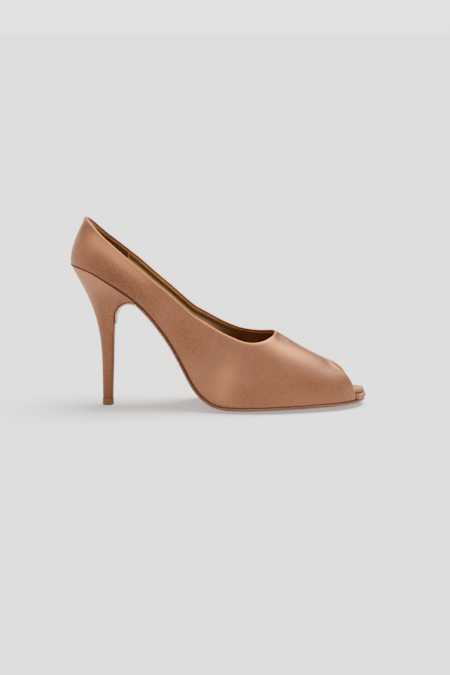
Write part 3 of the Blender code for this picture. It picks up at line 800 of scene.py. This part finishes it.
def add_mesh(name, points, faces, finishes, tint=None, sharp=50, gleam=None):
    """Make one smooth piece of the shoe that rides with it."""
    mesh = bpy.data.meshes.new(name)
    mesh.from_pydata([tuple(point + SHIFT) for point in points], [], faces)
    for finish in finishes:
        mesh.materials.append(finish)
    if tint is not None:
        mesh.polygons.foreach_set("material_index", tint)
    work = bmesh.new()
    work.from_mesh(mesh)
    bmesh.ops.recalc_face_normals(work, faces=work.faces)
    work.to_mesh(mesh)
    work.free()
    mesh.shade_smooth()
    mesh.set_sharp_from_angle(angle=math.radians(sharp))
    # The attribute carries painted highlight (above 0) and painted shade (below 0), which the materials
    # lay on their colour
    if gleam is not None:
        mesh.attributes.new("gleam", "FLOAT", "POINT").data.foreach_set("value", np.ravel(gleam))
    piece = add_object(name, mesh)
    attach(piece, "root")
    return piece


def ring_faces(rings, around):
    """Quads between closed rings of equal length."""
    return [(i * around + j, i * around + (j + 1) % around,
             (i + 1) * around + (j + 1) % around, (i + 1) * around + j)
            for i in range(rings - 1) for j in range(around)]


def torus_faces(rings, around):
    """Quads between rings, and between the last ring and the first."""
    last = (rings - 1) * around
    joined = [(last + j, last + (j + 1) % around, (j + 1) % around, j) for j in range(around)]
    return ring_faces(rings, around) + joined


def capped_faces(rings, around):
    """Quads between rings, and one face over each open end."""
    last = (rings - 1) * around
    return ring_faces(rings, around) + [tuple(range(around)), tuple(range(last, last + around))]


def circle(sides, across, upward):
    """Points of a circle of radius 1, in the plane of two directions."""
    angles = np.linspace(0, 2 * math.pi, sides, endpoint=False)
    return np.outer(np.cos(angles), across) + np.outer(np.sin(angles), upward)


def tube(name, path, radius, finish, slot, closed=False):
    """A thin round bead along a path."""
    path = np.array(path)
    if closed:
        run = np.roll(path, -1, axis=0) - np.roll(path, 1, axis=0)
    else:
        run = np.gradient(path, axis=0)
    run = unit(run)
    across = unit(np.cross(run, (0.0, 0.0, 1.0)) + 1e-9)
    upward = np.cross(across, run)
    radii = np.broadcast_to(np.asarray(radius), (len(path),))
    rings = [path[i] + radii[i] * circle(TUBE_SIDES, across[i], upward[i]) for i in range(len(path))]
    faces = (torus_faces if closed else capped_faces)(len(rings), TUBE_SIDES)
    return add_mesh(name, np.concatenate(rings), faces, [finish])


def roll_rings(outside, inside, lead):
    """Rings of a half-round edge from one skin to another, pushed out along the lead."""
    middle = (outside + inside) / 2
    half = (outside - inside) / 2
    reach = np.linalg.norm(half, axis=1)[:, None]
    angles = np.linspace(0, math.pi, ROLL_STEPS + 2)[1:-1]
    return [middle + half * math.cos(angle) + lead * reach * math.sin(angle) for angle in angles]


def tucked(grid, normals, sides):
    """Turn the lowest rim of the skin in over the sole, and leave the peep edge as it is."""
    grid = grid.copy()
    for j, column in enumerate(sides):
        if not at_peep(column):
            bend = ramp(lengths(grid[j]), TUCK_HEIGHT, -TUCK_HEIGHT)[:, None] ** 2
            grid[j] -= unit(normals[j] * (1, 1, 0)) * bend * TUCK
            grid[j, 0, 2] += GAP / 2
    return grid


def lining_bulge(drop, along):
    """How far the lining stands inwards at a drop below the collar: a soft fold along the sides."""
    swell = LINING_SWELL * ramp(drop, *SWELL_RISE) ** SWELL_POWER
    swell *= np.exp(-np.maximum(drop - SWELL_FULL, 0) / SWELL_FADE)
    window = ramp(along, *BULGE_RISE) * ramp(along, *BULGE_FADE)
    return window * (hump(drop, *LINING_ROLL) + hump(drop, *LINING_GROOVE) + swell)


def rim_painted_shading(side, along):
    """Painted highlight on the folded rim of the collar, and painted shade on it inside the back."""
    return RIM_OUTER_HIGHLIGHT if side == OUTER else RIM_BACK_SHADE + (RIM_FRONT_HIGHLIGHT - RIM_BACK_SHADE) * ramp(along, *RIM_RISE)


def lining_painted_shading(drop, along):
    """Painted light and shade of the lining at a drop below the collar: a band of painted shade, painted
    shade in its crease, then a band of painted light.
    """
    painted_shade_brown = LINING_SHADE_BAND * ramp(drop, *SHADE_BAND_RISE) * ramp(drop, *SHADE_BAND_FADE)
    lit_band = LINING_LIT_BAND * ramp(drop, *LIT_BAND_RISE) * ramp(along, *LIT_BAND_FADE)
    return ramp(along, *SHADE_RISE) * (painted_shade_brown + hump(drop, *LINING_CREASE_SHADE) + lit_band)


def make_shell(grid, normals, sides, gleam, finish):
    """Satin of the upper: one closed skin, rolled in at the collar and at the peep."""
    skin = tucked(grid, normals, sides)
    wall = np.full(grid.shape[:2], SATIN)
    for j, column in enumerate(sides):
        pad = hump(lengths(grid[j, ::-1])[::-1], BACK_PAD, 0.0, PAD_REACH)
        skin[j] += normals[j] * (pad * ramp(share_of(grid[j, -1, 0]), *PAD_FADE))[:, None]
        if at_peep(column):
            near = ramp(lengths(grid[j]), PEEP_FOLD_REACH, -PEEP_FOLD_REACH)
            wall[j] += PEEP_FOLD * near ** PEEP_FOLD_POWER
    inside = grid - normals * wall[..., None]
    peep = np.array([[float(at_peep(column))] for column in sides])
    rings = list(skin.transpose(1, 0, 2))
    rings += roll_rings(skin[:, -1], inside[:, -1], unit(skin[:, -1] - skin[:, -2]))
    rings += list(inside.transpose(1, 0, 2)[::-1])
    rings += roll_rings(inside[:, 0], skin[:, 0], unit(skin[:, 0] - skin[:, 1]) * peep)
    # Painted highlight along the collar's rim and painted shade inside its back, softened onto the next
    # row
    rim = np.array([rim_painted_shading(column.side, share_of(skin[j, -1, 0])) for j, column in enumerate(sides)])
    gleam[:, -1] += rim
    gleam[:, -2] += rim / RIM_SOFTENING
    # Painted light on the satin turned in at the peep and on its roll, where shade falls
    turned = PEEP_PAINTED_LIGHT * peep * ramp(UPPER_SHARES, PEEP_PAINTED_LIGHT_SHARE, -PEEP_PAINTED_LIGHT_SHARE)
    rolls = [np.tile(light, (ROLL_STEPS, 1)) for light in (rim, peep[:, 0] * PEEP_PAINTED_LIGHT / 2)]
    layers = np.concatenate([gleam.T, rolls[0], turned.T[::-1], rolls[1]])
    shell = add_mesh("upper_satin_shell", np.concatenate(rings), torus_faces(len(rings), len(skin)),
                     [finish], gleam=layers)
    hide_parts("upper")


def make_lining(grid, normals, sides, finish, edge_finish):
    """Lining inside the satin, with its cut upper edge, paler than the lining: partly the edge's own
    tone, partly painted highlight. Returns its inner face.
    """
    inner, outer, edge, shades = [], [], [], []
    for j, column in enumerate(sides):
        run = lengths(grid[j])
        start = LINING_PEEP_START if at_peep(column) else LINING_START
        place = np.linspace(start, run[-1] - LINING_DROP, LINING_ROWS + 1)
        base = resampled(run, grid[j], place)
        out = unit(resampled(UPPER_SHARES, normals[j], np.linspace(0, 1, LINING_ROWS + 1)))
        along = share_of(base[:, 0])
        drop = run[-1] - place
        shades.append(lining_painted_shading(drop, along))
        outer.append(base - out * LINING_OUT)
        inner.append(base - out * (LINING_IN + lining_bulge(drop, along))[:, None])
        edge.append(base[-1] - out[-1] * (LINING_OUT + LINING_IN) / 2)
    inner, outer, shades = np.array(inner), np.array(outer), np.array(shades).T
    rings = list(outer.transpose(1, 0, 2)) + list(inner.transpose(1, 0, 2)[::-1])
    add_mesh("upper_lining", np.concatenate(rings), torus_faces(len(rings), len(inner)),
             [finish], gleam=np.concatenate((shades, shades[::-1])))
    tube("lining_edge", edge, LINING_EDGE, edge_finish, "sock_leather", closed=True)
    return inner


def make_pocket(inner, normals, sides, finish, edge_finish):
    """Leather pocket that lines the heel, with a cut edge at each of its ends."""
    turns = [j for j, column in enumerate(sides) if column.low[0] <= POCKET_END and not at_peep(column)]
    middle = len(sides) // 2
    rings, edges = [], []
    for j in sorted(turns, key=lambda j: (j <= middle, j)):
        run = lengths(inner[j])
        place = np.linspace(POCKET_START, run[-1] - POCKET_DROP, POCKET_ROWS)
        spot = resampled(run, inner[j], place)
        out = unit(resampled(UPPER_SHARES, normals[j], np.linspace(0, 1, POCKET_ROWS)))
        back, face = spot - out * POCKET_BACK, spot - out * POCKET_FACE
        rings.append(np.concatenate((back, face[::-1])))
        edges.append((back + face) / 2)
    around = 2 * POCKET_ROWS
    faces = ring_faces(len(rings), around)
    for first in (0, (len(rings) - 1) * around):
        faces += [(first + k, first + k + 1, first + around - k - 2, first + around - k - 1)
                  for k in range(POCKET_ROWS - 1)]
    add_mesh("heel_lining", np.concatenate(rings), faces, [finish])
    for name, edge in (("inner", edges[0]), ("outer", edges[-1])):
        tube("heel_lining_edge_" + name, edge, POCKET_EDGE, edge_finish, "sock_leather")


def make_upper():
    """Satin, lining and heel pocket. Returns the folded skin, its normals and its columns."""
    grid, sides = skin_columns()
    # Painted highlight and painted shade on the satin, from the painted bands
    gleam = fold_depth(grid, PAINTED_SHADING_BANDS)
    grid = grid - grid_normals(grid) * fold_depth(grid, FOLDS)[..., None]
    normals = grid_normals(grid)
    # Cut edge of the lining and pocket: paler than the lining, partly its own edge and partly painted
    # highlight
    edge = leather("lining_cut_edge", (150, 108, 62), (176, 134, 86), 0.6)
    pocket = leather("heel_lining_leather", (60, 34, 12), (84, 50, 20), 0.6)
    make_shell(grid, normals, sides, gleam, satin("upper_satin", 1.05))
    inner = make_lining(grid, normals, sides, lining_leather(), edge)
    make_pocket(inner, normals, sides, pocket, edge)
    return grid, normals, sides


def joint_path():
    """Line and radii of the joint between the upper and what lies under it, all the way round."""
    ends = [(along, OUTER) for along in np.linspace(1.0, 0.0, JOINT_STEPS)]
    ends += [(along, INNER) for along in np.linspace(0.0, 1.0, JOINT_STEPS)[1:-1]]
    path, radii = [], []
    for along, side in ends:
        x, y = edge_point(along, side, -JOINT_INSET)
        path.append((x, y, feather_height(x) + GAP * JOINT_LIFT))
        radii.append(JOINT + sum(hump(along, *wider) for wider in JOINT_WIDER))
    return path, np.array(radii)


def rand_path():
    """Fold of the satin along the upper edge of the board, where it comes out past the peep."""
    ends = [(along, OUTER) for along in np.linspace(RAND_START, TIP_END, RAND_STEPS)]
    ends += [(along, INNER) for along in np.linspace(TIP_END, RAND_START, RAND_STEPS)]
    path = []
    for along, side in ends:
        x, y = edge_point(along, side, -board_inset(along) - RAND_INSET)
        normal = bottom_normal(x)
        rise = BOARD_TOE - RAND_INSET
        path.append((x + normal[0] * rise, y, last_bottom(x, y) + GAP + normal[1] * rise))
    return path


def breast_path(side):
    """Line of the joint between the heel and one edge of the breast flap."""
    path = []
    for share in np.linspace(*BREAST_ENDS, BREAST_STEPS):
        point, pull = flap_point(share)
        across = side * (flap_half(share) - BREAST_JOINT_INSET)
        path.append((point[0] + pull[1] * GAP, across, point[1] - pull[0] * GAP))
    return path


def peep_path(side, grid, normals, sides):
    """Lower stretch of the peep edge on one side, just outside the satin's fold."""
    peep = [j for j, column in enumerate(sides) if at_peep(column)]
    low = [j for j in range(peep[0] - 1, peep[-1] + 2)
           if sides[j].side == side and sides[j].low[1] < STITCH_TURN]
    low.sort(key=lambda j: sides[j].low[1])
    return [grid[j, 0] - normals[j, 0] * SATIN * STITCH_DEPTH for j in low]


def stitches(name, path, finish):
    """A row of short stitches along a path, as one piece."""
    path = np.array(path)
    run = lengths(path)
    steps = len(STITCH_SHAPE)
    points, faces = [], []
    for k in range(int(run[-1] / STITCH_PITCH)):
        places = STITCH_PITCH * (k + STITCH_SPACE + STITCH_LENGTH * np.linspace(0, 1, steps))
        spots = resampled(run, path, places)
        pull = unit(spots[-1] - spots[0])
        across = unit(np.cross(pull, (0.0, 1.0, 0.0)))
        ring = circle(STITCH_SIDES, across, np.cross(across, pull))
        first = len(points)
        for spot, size in zip(spots, STITCH_SHAPE):
            points += list(spot + STITCH * size * ring)
        faces += [tuple(first + v for v in face) for face in capped_faces(steps, STITCH_SIDES)]
    return add_mesh(name, points, faces, [finish])


def soft_slab(name, node, lines, belly, tip_reach, finishes, flap=0):
    """Loft a slab with half-round edges and round ends. Its faces are tinted top, under, edge."""
    tops, lows = lines
    span = len(tops[0])

    def ring(top, low, squash, push):
        middle = (top + low) / 2
        top = middle + (top - middle) * squash + push
        low = middle + (low - middle) * squash + push
        right, left = [], []
        for angle in np.linspace(math.pi / 2, -math.pi / 2, EDGE_STEPS + 2)[1:-1]:
            tall = (math.sin(angle) + 1) / 2
            out = np.array((0.0, belly * math.cos(angle), 0.0))
            right.append(low[-1] + (top[-1] - low[-1]) * tall + out)
            left.append(low[0] + (top[0] - low[0]) * tall - out)
        return np.array(list(top) + right + list(low[::-1]) + left[::-1])

    def tip(end, beside, turns):
        lead = unit(np.mean(tops[end], axis=0) - np.mean(tops[beside], axis=0)) * tip_reach
        return [ring(tops[end], lows[end], math.cos(t), lead * math.sin(t)) for t in np.radians(turns)]

    rings = tip(0, 1, END_TURNS)
    rings += [ring(top, low, 1.0, 0.0) for top, low in zip(tops, lows)]
    rings += tip(-1, -2, END_TURNS[::-1])
    around = len(rings[0])
    under = range(span + EDGE_STEPS, 2 * span + EDGE_STEPS - 1)
    tint = []
    for i in range(len(rings) - 1):
        for j in range(around):
            below = j in under or i > len(rings) - flap
            tint.append(0 if j < span - 1 else 1 if below else 2)
    piece = add_mesh(name, np.concatenate(rings), capped_faces(len(rings), around), finishes,
                     tint=tint + [2, 2] if len(finishes) > 1 else None, sharp=45)
    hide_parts(node)


def sole_lines():
    """Top and bottom lines of the sole and its flap, ring by ring."""
    tops, lows = [], []
    for along in stations(TIP_END, JOIN_SHARE, SOLE_STATIONS):
        top = [np.array((x, y, last_bottom(x, y))) for x, y in across_line(along, SOLE_MARGIN)]
        middle = (top[0][1] + top[-1][1]) / 2
        half = (top[-1][1] - top[0][1]) / 2
        fuller = (SOLE_MIDDLE - SOLE_EDGE) * toe_round(along)
        low = []
        for point in top:
            normal = bottom_normal(point[0])
            share = (point[1] - middle) / half
            spot = point - np.array((normal[0], 0.0, normal[1])) * (SOLE_EDGE + fuller * (1 - share ** 2))
            spot[2] = max(spot[2], 0.0)
            low.append(spot)
        tops.append(np.array(top))
        lows.append(np.array(low))
    for k in range(1, FLAP_STATIONS + 1):
        share = k / FLAP_STATIONS
        point, pull = flap_point(share)
        normal = np.array((pull[1], 0.0, -pull[0]))
        ease = min(share * FLAP_EASE, 1)
        thin = FLAP + (FLAP_TIP - FLAP) * share ** 2
        edge = SOLE_EDGE + (thin - SOLE_EDGE) * ease
        middle = SOLE_MIDDLE + (thin - SOLE_MIDDLE) * ease
        half = flap_half(share) + SOLE_MARGIN
        dip = BALL_WIDTH * sections["crown"](JOIN_SHARE) * (1 - ease)
        belly = FLAP_BELLY * math.sin(math.pi * share) ** 0.5
        top, low = [], []
        for spot in -np.cos(np.linspace(0, math.pi, ACROSS + 1)):
            place = np.array((point[0], spot * half, point[1] + dip * spot ** 2))
            top.append(place)
            low.append(place - normal * (edge + (middle - edge + belly) * (1 - spot ** 2)))
        tops.append(np.array(top))
        lows.append(np.array(low))
    return tops, lows


def slab_lines(lift, thickness, inset):
    """Top and bottom lines of a slab that follows the last's bottom."""
    tops, lows = [], []
    for along in stations(TIP_END, SEAT_END, BOARD_STATIONS):
        top, low = [], []
        for x, y in across_line(along, -inset(along)):
            normal = bottom_normal(x)
            up = np.array((normal[0], 0.0, normal[1]))
            base = np.array((x, y, last_bottom(x, y) + GAP)) + up * lift(share_of(x))
            low.append(base)
            top.append(base + up * thickness(share_of(x)))
        tops.append(np.array(top))
        lows.append(np.array(low))
    return tops, lows


def fine_rings(rings):
    """More rings between given ones, on a smooth curve through each of their points."""
    rings = np.array(rings)
    run = summed(np.linalg.norm(np.diff(rings, axis=0), axis=2).mean(axis=1))
    places = np.linspace(0, run[-1], HEEL_RINGS)
    fine = np.zeros((HEEL_RINGS,) + rings.shape[1:])
    for j in range(rings.shape[1]):
        for k in range(3):
            curve = spline(run, rings[:, j, k])
            fine[:, j, k] = [curve(place) for place in places]
    return fine


def make_heel(finish):
    """Covered heel block on finer rings, with a squarer breast and a smooth back."""
    step = namedtuple("HeelStep", ("step",) + Heel._fields)
    curves = columns([step(k, *row) for k, row in enumerate(HEEL)])
    rings = [heel_ring(HEEL[0])]
    for place in np.linspace(0, len(HEEL) - 1, HEEL_STEPS * (len(HEEL) - 1) + 1)[1:]:
        row = Heel(*[curves[name](place) for name in Heel._fields])
        squarer = 1 + BREAST_SQUARER * ramp(row.front, *BREAST_SQUARE_RISE)
        rings.append(heel_ring(row._replace(square=row.square * squarer)))
    rings = fine_rings(rings + [heel_seat_ring()])
    loose = ramp(np.cos(2 * math.pi * np.arange(HEEL_SIDES) / HEEL_SIDES), *SMOOTH_BACK)
    rise = ramp(np.arange(1, len(rings) - 1), *SMOOTH_RINGS)
    share = (rise[:, None] * loose)[..., None]
    for turn in range(SMOOTH_TURNS):
        even = (rings[:-2] + 2 * rings[1:-1] + rings[2:]) / 4
        rings[1:-1] += (even - rings[1:-1]) * share
    faces = ring_faces(len(rings), HEEL_SIDES) + [tuple(range(HEEL_SIDES))]
    last = (len(rings) - 1) * HEEL_SIDES
    for k in range(HEEL_SIDES // 2):
        far, far_next = (HEEL_SIDES - k) % HEEL_SIDES, HEEL_SIDES - k - 1
        strip = (last + k, last + k + 1, last + far_next, last + far)
        faces.append(tuple(dict.fromkeys(strip)))
    points = np.concatenate(rings)
    # Painted light on the heel's satin near the top, and painted shade down the stem
    gleam = HEEL_PAINTED_LIGHT - STEM_PAINTED_SHADE * ramp(points[:, 2] / feather_height(BACK), *STEM_SHADE_FADE)
    heel = add_mesh("heel_cover", points, faces, [finish], sharp=40, gleam=gleam)
    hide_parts("heel")


def make_top_piece(finish):
    """Wear piece under the heel tip, with soft edges."""
    base = np.array(heel_ring(HEEL[0]))
    middle = np.mean(base, axis=0)
    rings = []
    for height, size in TOP_PIECE_RINGS:
        ring = middle + (base - middle) * size
        ring[:, 2] = TOP_PIECE * height
        rings.append(ring)
    piece = add_mesh("heel_top_piece", np.concatenate(rings), capped_faces(len(rings), HEEL_SIDES),
                     [finish])
    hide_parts("top_piece")


def set_socket(tree, socket, value):
    """Link a socket to another node's output, or set its value."""
    if isinstance(value, bpy.types.NodeSocket):
        tree.links.new(value, socket)
    else:
        socket.default_value = value


def add_node(tree, kind, output, **sockets):
    """One output of a new node, whose sockets are linked or set by their names."""
    node = tree.nodes.new(kind)
    for name, value in sockets.items():
        set_socket(tree, node.inputs[name.replace("_", " ")], value)
    return node.outputs[output]


class Shade:
    """One procedural material, in the object's own metres."""

    def __init__(self, name, roughness, **sockets):
        self.finish = bpy.data.materials.new(name)
        self.finish.use_nodes = True
        self.tree = self.finish.node_tree
        self.coords = self.add("ShaderNodeTexCoord", "Object")
        self.relief = None
        self.set(Roughness=roughness, **sockets)

    def add(self, kind, output, **sockets):
        return add_node(self.tree, kind, output, **sockets)

    def set(self, **sockets):
        shader = self.tree.nodes["Principled BSDF"]
        for name, value in sockets.items():
            set_socket(self.tree, shader.inputs[name.replace("_", " ")], value)

    def placed(self, scale=(1, 1, 1), turn=0.0):
        """Object coordinates, turned around Y first and stretched after: streaks run slanted."""
        turned = self.add("ShaderNodeMapping", "Vector", Vector=self.coords, Rotation=(0.0, turn, 0.0))
        return self.add("ShaderNodeMapping", "Vector", Vector=turned, Scale=scale)

    def noise(self, scale, detail, roughness=0.5, stretch=(1, 1, 1), turn=0.0):
        return self.add("ShaderNodeTexNoise", "Fac", Vector=self.placed(stretch, turn), Scale=scale,
                        Detail=detail, Roughness=roughness)

    def wave(self, scale, distortion, turn):
        return self.add("ShaderNodeTexWave", "Fac", Vector=self.placed(turn=turn), Scale=scale,
                        Distortion=distortion)

    def spread(self, value, low, high, start, end):
        """Low where the value is at its start, high where it is at its end."""
        return self.add("ShaderNodeMapRange", "Result", Value=value, From_Min=start, From_Max=end,
                        To_Min=low, To_Max=high)

    def blend(self, value, start, end, low, high, most=1):
        """Colour that goes from low to high, or most of the way, as the value goes from start to end."""
        share = self.spread(value, 0, most, start, end)
        node = self.tree.nodes.new("ShaderNodeMix")
        node.data_type = "RGBA"
        for place, source in ((0, share), (6, low), (7, high)):
            colour = tone(source) if isinstance(source, tuple) else source
            set_socket(self.tree, node.inputs[place], colour)
        return node.outputs[2]

    def gleam(self, base, painted_shade_tone, painted_highlight_tone):
        """Painted shade where the piece's attribute is below 0, and painted highlight where it is above.
        """
        node = self.tree.nodes.new("ShaderNodeAttribute")
        node.attribute_name = "gleam"
        gleam = node.outputs["Fac"]
        return self.blend(gleam, 0.0, 1.0, self.blend(gleam, 0.0, -1.0, base, painted_shade_tone), painted_highlight_tone)

    def bump(self, height, distance, strength):
        sockets = {} if self.relief is None else {"Normal": self.relief}
        self.relief = self.add("ShaderNodeBump", "Normal", Height=height, Distance=distance,
                               Strength=strength, **sockets)
        self.set(Normal=self.relief)


def tone(colour):
    """Linear colour from a screen colour of 0 to 255."""
    shares = [(c / 255 / 12.92) if c < 10 else ((c / 255 + 0.055) / 1.055) ** 2.4 for c in colour]
    return (*shares, 1)


# Tones of the satin: its painted shade, the two of its soft clouds, and its painted highlight, which is
# also the colour of its grain flecks
SATIN_PAINTED_SHADE = (84, 51, 36)
SATIN_LOW = (114, 73, 54)
SATIN_HIGH = (124, 83, 63)
SATIN_HIGHLIGHT_AND_GRAIN = (208, 136, 84)
SATIN_TINT = (1.0, 0.66, 0.45, 1)


def satin(name, turn):
    """Warp-faced satin: fine slanted threads, grain, faint slubs and broad soft bands of sheen from its
    roughness, with painted highlight and painted shade laid on from the piece's attribute.
    """
    shade = Shade(name, 0.45, Specular_IOR_Level=0.35, Specular_Tint=SATIN_TINT, Metallic=0.30)
    cloud = shade.noise(38, 2.0, 0.45, (1.0, 1.0, 0.8), turn)
    base = shade.blend(cloud, 0.35, 0.65, SATIN_LOW, SATIN_HIGH)
    # Painted shade and painted highlight from the piece's attribute
    base = shade.gleam(base, SATIN_PAINTED_SHADE, SATIN_HIGHLIGHT_AND_GRAIN)
    grain = shade.noise(1000, 2.0, 0.6, (0.6, 1.0, 1.0), turn)
    gloss = shade.noise(55, 2.0, 0.5, (1.0, 1.0, 0.5), turn)
    shade.set(Base_Color=shade.blend(grain, 0.35, 0.65, base, SATIN_HIGHLIGHT_AND_GRAIN, most=0.12),
              Roughness=shade.spread(gloss, 0.39, 0.50, 0.35, 0.65))
    shade.bump(shade.noise(95, 2.0), 0.0003, 0.20)
    shade.bump(shade.noise(700, 3.0, 0.6, (0.15, 1.0, 1.0), turn), 0.00004, 0.08)
    shade.bump(shade.wave(1250, 0.4, turn), 0.00003, 0.22)
    return shade.finish


def leather(name, low, high, roughness, coat=0.0):
    """Smooth leather with fine pores and a cloudy dye."""
    shade = Shade(name, roughness, Coat_Weight=coat, Coat_Roughness=0.3, Specular_IOR_Level=0.35)
    pores = shade.noise(900, 3.0, 0.55)
    shade.set(Base_Color=shade.blend(shade.noise(60, 4.0, 0.6), 0.3, 0.7, low, high),
              Roughness=shade.spread(pores, roughness - 0.06, roughness + 0.08, 0.3, 0.7))
    shade.bump(pores, 0.00006, 0.5)
    return shade.finish


def lining_leather():
    """Kid lining: beige along the sides, darker under the vamp as painted shade, with painted light and
    shade from the piece's attribute.
    """
    shade = Shade("lining_leather", 0.5, Specular_IOR_Level=0.3)
    forward = shade.add("ShaderNodeSeparateXYZ", "X", Vector=shade.coords)
    cloud = shade.noise(60, 4.0, 0.6)
    beige = shade.blend(cloud, 0.3, 0.7, (118, 82, 44), (140, 102, 60))
    painted_shade_brown = shade.blend(cloud, 0.3, 0.7, (88, 50, 26), (104, 62, 33))
    # Painted shade and painted light from the piece's attribute, over the beige
    beige = shade.gleam(beige, (58, 34, 14), (160, 124, 84))
    # Darker towards the vamp along X: painted shade inside the toe box
    shade.set(Base_Color=shade.blend(forward, -0.020, 0.012, beige, painted_shade_brown))
    shade.bump(shade.noise(900, 3.0, 0.55), 0.00006, 0.5)
    return shade.finish


def sole_edge():
    """Cut leather edge, dyed, with faint layers along it."""
    shade = Shade("sole_edge_leather", 0.45, Specular_IOR_Level=0.4)
    layers = shade.noise(900, 2.0, 0.5, (0.03, 0.03, 1.0))
    shade.set(Base_Color=shade.blend(layers, 0.35, 0.65, (88, 47, 22), (116, 68, 36)))
    shade.bump(layers, 0.00012, 0.5)
    return shade.finish


# Camera: distance, metres in one pixel at the shoe, elevation in degrees, the picture's pixels,
# and the pixel of the point that is at AIM_HEIGHT over the floor's centre
CAMERA_DISTANCE = 1.3
PIXEL = 0.000714
ELEVATION = 9.7
PICTURE = (450, 675)
TARGET = (218.6, 314.8)
AIM_HEIGHT = 0.065
SENSOR = 24.0

# Floor: rings of quads that grow outwards, and its own faint light. The sky glows at the horizon
FLOOR_RINGS = 40
FLOOR_SIDES = 72
FLOOR_START = 0.02
FLOOR_REACH = 60.0
FLOOR_GLOW = 0.35
HORIZON_GLOW = 2.8
SKY_GLOW = 0.35
SKY_BAND = (0.05, 0.25)
PALE = (1.0, 0.99, 0.98)

# Lights: name, direction that they come from, spread in degrees, power and colour
LIGHTS = (
    ("top", (0.20, 0.15, 1.0), 40, 8.6, PALE),
    ("key", (-0.5, -0.9, 0.9), 45, 0.7, (1.0, 0.985, 0.97)),
)


def make_floor():
    points = []
    for reach in FLOOR_START + FLOOR_REACH * np.linspace(0, 1, FLOOR_RINGS) ** 3:
        for angle in 2 * math.pi * np.arange(FLOOR_SIDES) / FLOOR_SIDES:
            points.append((reach * math.cos(angle), reach * math.sin(angle), 0.0))
    mesh = bpy.data.meshes.new("floor")
    mesh.from_pydata(points, [], ring_faces(FLOOR_RINGS, FLOOR_SIDES) + [tuple(range(FLOOR_SIDES))])
    shade = Shade("floor_paper", 0.75, Specular_IOR_Level=0.1, Emission_Strength=FLOOR_GLOW,
                  Emission_Color=(*PALE, 1))
    shade.set(Base_Color=shade.blend(shade.noise(4, 2), 0.0, 1.0, (212, 211, 210), (215, 214, 213)))
    mesh.materials.append(shade.finish)
    add_object("floor", mesh)


def make_sky():
    """Pale all round, and brighter towards the horizon."""
    world = bpy.data.worlds.new("studio")
    world.use_nodes = True
    tree = world.node_tree
    coords = add_node(tree, "ShaderNodeTexCoord", "Generated")
    height = add_node(tree, "ShaderNodeSeparateXYZ", "Z", Vector=coords)
    glow = add_node(tree, "ShaderNodeMapRange", "Result", Value=height, From_Min=SKY_BAND[0],
                    From_Max=SKY_BAND[1], To_Min=HORIZON_GLOW, To_Max=SKY_GLOW)
    background = tree.nodes["Background"]
    set_socket(tree, background.inputs["Color"], (*PALE, 1))
    set_socket(tree, background.inputs["Strength"], glow)
    bpy.context.scene.world = world


def make_lights():
    for name, place, spread, power, colour in LIGHTS:
        lamp = bpy.data.lights.new(name, "SUN")
        lamp.angle = math.radians(spread)
        lamp.energy = power
        lamp.color = colour
        light = add_object(name, lamp)
        light.location = place
        aim = -np.array(place)
        tilt = math.atan2(math.hypot(aim[0], aim[1]), -aim[2])
        light.rotation_euler = (tilt, 0.0, math.atan2(aim[1], aim[0]) - math.pi / 2)


def make_camera():
    lens = bpy.data.cameras.new("camera")
    lens.sensor_fit = "VERTICAL"
    lens.sensor_height = SENSOR
    lens.sensor_width = SENSOR
    lens.lens = CAMERA_DISTANCE * SENSOR / (PICTURE[1] * PIXEL)
    lens.clip_start = 0.01
    lens.clip_end = 100
    camera = add_object("camera", lens)
    raised = math.radians(ELEVATION)
    back = np.array((0.0, -math.cos(raised), math.sin(raised)))
    upward = np.array((0.0, math.sin(raised), math.cos(raised)))
    aim = np.array(((PICTURE[0] / 2 - TARGET[0]) * PIXEL, 0.0, AIM_HEIGHT))
    aim = aim - upward * (PICTURE[1] / 2 - TARGET[1]) * PIXEL
    camera.location = aim + back * CAMERA_DISTANCE
    camera.rotation_euler = (math.pi / 2 - raised, 0.0, 0.0)
    bpy.context.scene.camera = camera


def main():
    grid, normals, sides = make_upper()
    board = taper(BOARD_BACK, BOARD_TOE)
    sock = taper(SOCK_BACK, SOCK_TOE)
    soft_slab("insole_board_cover", "insole_board",
              slab_lines(lambda a: 0.0, board, board_inset), 0.0004, 0.0008, [satin("board_satin", 0.2)])
    # The satin fold along the board is paler than the satin: painted highlight along the rand's upper
    # fold
    fold = leather("board_fold_satin", (170, 110, 74), (186, 126, 88), 0.45)
    tube("insole_board_fold", rand_path(), RAND_FOLD, fold, "board_satin")
    soft_slab("insole_sock_cover", "insole_sock",
              slab_lines(lambda a: board(a) + GAP, sock, sock_inset), 0.0003, 0.0008,
              [leather("sock_leather", (140, 100, 57), (158, 116, 71), 0.62)])
    joint = leather("joint_glue", (36, 13, 5), (52, 21, 8), 0.7)
    tube("sole_joint", *joint_path(), joint, "sole_leather", closed=True)
    thread = leather("edge_thread", (196, 170, 142), (216, 194, 170), 0.7)
    for side, name in SIDE_NAME.items():
        tube("breast_joint_" + name, breast_path(side), BREAST_JOINT, joint, "sole_leather")
    for side, name in SIDE_NAME.items():
        stitches("peep_thread_" + name, peep_path(side, grid, normals, sides), thread)
    under = leather("sole_leather", (160, 124, 90), (178, 142, 106), 0.42, coat=0.15)
    soft_slab("sole_cover", "outsole", sole_lines(), 0.0003, 0.0005,
              [joint, under, sole_edge()], flap=FLAP_STATIONS)
    make_heel(satin("heel_satin", 1.3))
    make_top_piece(leather("heel_tip_rubber", (106, 72, 30), (122, 86, 42), 0.6))
    make_floor()
    make_sky()
    make_lights()
    make_camera()


main()
